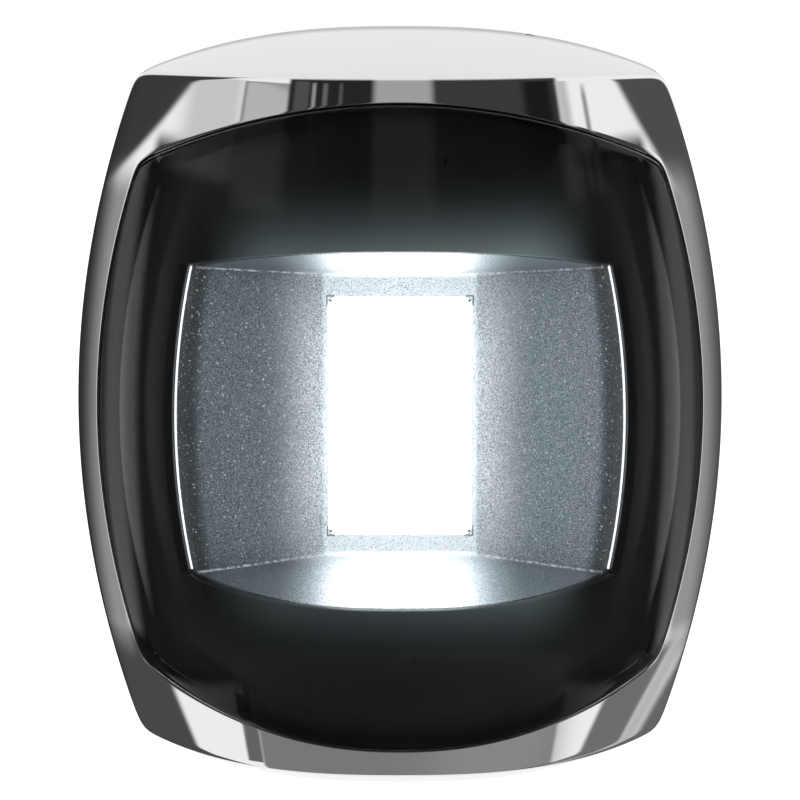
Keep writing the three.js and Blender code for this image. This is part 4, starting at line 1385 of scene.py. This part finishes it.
def softened(node, name, edge, limit=35, steps=2):
    mesh = nodes[node].data.copy()
    mesh.name = name
    mesh.transform(nodes[node].matrix_world)
    obj = in_scene(name, mesh)
    work = bmesh.new()
    work.from_mesh(mesh)
    bmesh.ops.remove_doubles(work, verts=work.verts, dist=2e-6)
    bmesh.ops.dissolve_limit(
        work, angle_limit=math.radians(1.0), verts=work.verts, edges=work.edges, delimit={"NORMAL"}
    )
    if edge:
        sharp = [
            e for e in work.edges
            if len(e.link_faces) == 2 and e.calc_face_angle() > math.radians(limit) and e.calc_length() > edge
        ]
        bmesh.ops.bevel(
            work, geom=sharp, offset=edge, segments=steps, profile=0.5, affect="EDGES", clamp_overlap=True
        )
    work.to_mesh(mesh)
    work.free()
    return smooth_by_angle(obj, limit)


plain_pieces = {
    "base_plate": 0.12, "wall_gasket": 0.12, "cover_seal": 0.1, "cable_grommet": 0.1, "lens_seal": 0.0,
    "thermal_pad": 0.08, "led_board": 0.1, "terminal_block": 0.2, "driver_board": 0.1,
    "driver_inductor": 0.1, "driver_capacitor": 0.08, "bridge_rectifier": 0.2, "driver_regulator": 0.15,
    "supply_lead": 0.0, "return_lead": 0.0, "led_lead_positive": 0.0, "led_lead_negative": 0.0,
}
slots_of = {part["node"]: part["material_slot"] for part in frame["record"]["subparts"]}
for node, edge in plain_pieces.items():
    piece = softened(node, f"{node}_finished", edge * MM)
    slot = slots_of[node]
    body = "cover" if node == "lens_seal" else "base"
    place_piece(piece, slot_finishes[slot], slot, body, node)
print("softened:", len(plain_pieces), "pieces")

# %% [markdown]
# ## Studio
# A plain pale floor and a soft, mostly white surround. A mirror shows its surroundings, so the surround
# carries what a studio has: dark flags at both sides that draw the edges, and a broad soft light above.

# %% Camera
camera_distance = 0.40
camera_height = math.radians(6.0)
aim = Vector((0.0, 0.0, -0.08 * MM))
camera_data = bpy.data.cameras.new("camera")
camera_data.lens = 161.5
camera_data.sensor_width = 36.0
camera = in_scene("camera", camera_data)
back = Vector((0.0, -math.cos(camera_height), math.sin(camera_height)))
camera.location = aim + back * camera_distance
camera.rotation_mode = "QUATERNION"
camera.rotation_quaternion = (-back).to_track_quat("-Z", "Y")
bpy.context.scene.camera = camera

# %% [markdown]
# A flag is set by the mirror that shows it: the compass bearing and the upward lean of the polished skin
# where the camera sees it. The world's own direction gives that facing, as the half-way direction between
# it and the camera, so a flag stays where the steel wants an edge. Bearings run from the front to the
# right in degrees, and the lean is the upward share of the facing.

# %% A surround of soft flags
world = bpy.data.worlds.new("studio")
bpy.context.scene.world = world
world.use_nodes = True
tree = world.node_tree
background = tree.nodes["Background"]
bpy.context.scene.view_settings.view_transform = "Standard"


def sky_math(operation, *values):
    node = tree.nodes.new("ShaderNodeMath")
    node.operation = operation
    for socket, value in zip(node.inputs, values):
        if isinstance(value, (int, float)):
            socket.default_value = value
        else:
            tree.links.new(value, socket)
    return node.outputs[0]


def sky_vector(operation, first, second=None):
    node = tree.nodes.new("ShaderNodeVectorMath")
    node.operation = operation
    tree.links.new(first, node.inputs[0])
    if second is not None:
        node.inputs[1].default_value = second
    return node.outputs["Value"] if operation == "DOT_PRODUCT" else node.outputs["Vector"]


def step_up(value, at, soft):
    """0 below a level and 1 above it, with a soft crossing."""
    node = tree.nodes.new("ShaderNodeMapRange")
    node.interpolation_type = "SMOOTHSTEP"
    node.inputs["From Min"].default_value = at - soft
    node.inputs["From Max"].default_value = at + soft
    tree.links.new(value, node.inputs["Value"])
    return node.outputs["Result"]


direction = tree.nodes.new("ShaderNodeTexCoord").outputs["Generated"]
facing = sky_vector("NORMALIZE", sky_vector("ADD", direction, back))
split = tree.nodes.new("ShaderNodeSeparateXYZ")
tree.links.new(facing, split.inputs[0])
lean = split.outputs["Z"]
forward = sky_math("MULTIPLY", split.outputs["Y"], -1)
bearing = sky_math("MULTIPLY", sky_math("ARCTAN2", split.outputs["X"], forward), 180 / math.pi)
squareness = sky_vector("DOT_PRODUCT", facing, back)
plain_sky = 0.95
sky = sky_math("MULTIPLY", plain_sky, 1)


def flag(level, left, right, low, high, soft=0.8, soft_lean=0.012, slant=0.0, across=bearing):
    """Mixes a patch of one level into the surround. Slant moves its edges with the lean, in degrees."""
    global sky
    place = sky_math("ADD", across, sky_math("MULTIPLY", lean, slant))
    mask = sky_math("MULTIPLY", step_up(place, left, soft), step_up(lean, low, soft_lean))
    mask = sky_math("MULTIPLY", mask, sky_math("SUBTRACT", 1, step_up(place, right, soft)))
    mask = sky_math("MULTIPLY", mask, sky_math("SUBTRACT", 1, step_up(lean, high, soft_lean)))
    mix = tree.nodes.new("ShaderNodeMix")
    mix.inputs[3].default_value = level
    tree.links.new(mask, mix.inputs[0])
    tree.links.new(sky, mix.inputs[2])
    sky = mix.outputs[0]


# the dark room behind the camera
flag(0.05, -62.5, 62.5, -0.335, 0.335, soft=1.0)
# above: broad light at the left, then two dark windows either side of a narrow grey one
flag(0.62, -58, -43, 0.30, 0.47, soft=3, soft_lean=0.01)
flag(0.26, -43, -27, 0.28, 0.437, soft=0.6, soft_lean=0.006)
flag(0.50, -42, -27, 0.28, 0.427, soft=0.6, soft_lean=0.006)
flag(0.38, -5, 6, 0.28, 0.55, soft=2, soft_lean=0.06)
flag(0.02, -28, -3.2, 0.28, 0.62, soft=0.8, soft_lean=0.05)
flag(0.08, -26, -21, 0.28, 0.47)
flag(0.30, -20, -18.8, 0.28, 0.45, soft=0.5)
flag(0.13, -16.5, -15, 0.28, 0.45, soft=0.5)
flag(0.09, -11.5, -10.5, 0.28, 0.45, soft=0.4)
flag(0.045, 4.4, 43.5, 0.28, 0.62, soft=1.0, soft_lean=0.05)
flag(0.012, 32, 41.5, 0.28, 0.45, soft=2.0)
flag(0.55, 43.5, 46.5, 0.28, 0.43, soft=1.2)
flag(0.30, 50.2, 51.4, 0.28, 0.40, soft=0.5)
# dark sides at the upper corners
flag(0.045, -300, -99.8, 0.24, 0.70, slant=-107, soft=0.9)
flag(0.08, 83.6, 300, 0.24, 0.415, slant=61, soft=0.9)
# below: a grey table between two lights, with dark ends
flag(0.21, -37.5, 42.5, -0.80, -0.30)
flag(0.27, 5, 42.5, -0.80, -0.30, soft=9)
flag(0.14, -42.5, -37.5, -0.46, -0.30, soft=0.6)
flag(0.07, -200, -72.9, -0.80, -0.28, slant=40)
flag(0.17, 75.6, 85, -0.80, -0.30, slant=-60)
flag(0.50, 85, 87.5, -0.80, -0.30, slant=-60)
flag(0.14, 88, 120, -0.80, -0.30, soft=1.6, slant=-60)
# the long sides: a grey edge inside that darkens outwards
flag(0.30, -100, -65.5, -0.30, 0.29, soft=0.7, soft_lean=0.03)
flag(0.32, 65.5, 100, -0.30, 0.29, soft=0.7, soft_lean=0.03)
flag(0.03, -100, -68.6, -0.42, 0.42, soft=1.5)
flag(0.08, 68.9, 100, -0.42, 0.42, soft=1.5)
# the domes: a pale ceiling, greyer where the rim turns away
flag(0.87, -200, 200, 0.55, 1.1, soft_lean=0.05)
edge_shade = sky_math("SUBTRACT", 1, step_up(squareness, 0.14, 0.03))
edge_mix = tree.nodes.new("ShaderNodeMix")
edge_mix.inputs[3].default_value = 0.55
tree.links.new(sky_math("MULTIPLY", edge_shade, step_up(lean, 0.6, 0.1)), edge_mix.inputs[0])
tree.links.new(sky, edge_mix.inputs[2])
sky = edge_mix.outputs[0]

# %% Light the room and lay the floor
path = tree.nodes.new("ShaderNodeLightPath")
white_room = tree.nodes.new("ShaderNodeMix")
white_room.inputs[3].default_value = 1.0
after_matt = sky_math("MINIMUM", path.outputs["Diffuse Depth"], 1)
plain_view = sky_math("MAXIMUM", path.outputs["Is Camera Ray"], after_matt)
tree.links.new(plain_view, white_room.inputs[0])
tree.links.new(sky, white_room.inputs[2])
tree.links.new(white_room.outputs[0], background.inputs["Color"])

pale_floor = finish("pale_floor", (0.92, 0.92, 0.92), 0.8)
glows(pale_floor, (1.0, 1.0, 1.0), 0.45)
floor_height = cover_low.z - 20 * MM
floor = box_mesh("floor", (-3.0, -3.0, floor_height - 5 * MM), (3.0, 3.0, floor_height))
floor.data.materials.append(pale_floor)
floor.visible_glossy = False
floor.visible_transmission = False

key_data = bpy.data.lights.new("key", "AREA")
key_data.shape = "RECTANGLE"
key_data.size = 0.5
key_data.size_y = 0.35
key_data.energy = 1.2
key = in_scene("key", key_data)
key.location = (-0.35, -0.45, 0.55)
key.rotation_mode = "QUATERNION"
key.rotation_quaternion = (-Vector(key.location)).to_track_quat("-Z", "Y")
key.visible_glossy = False
key.visible_transmission = False
print("studio:", len(tree.nodes), "world nodes")
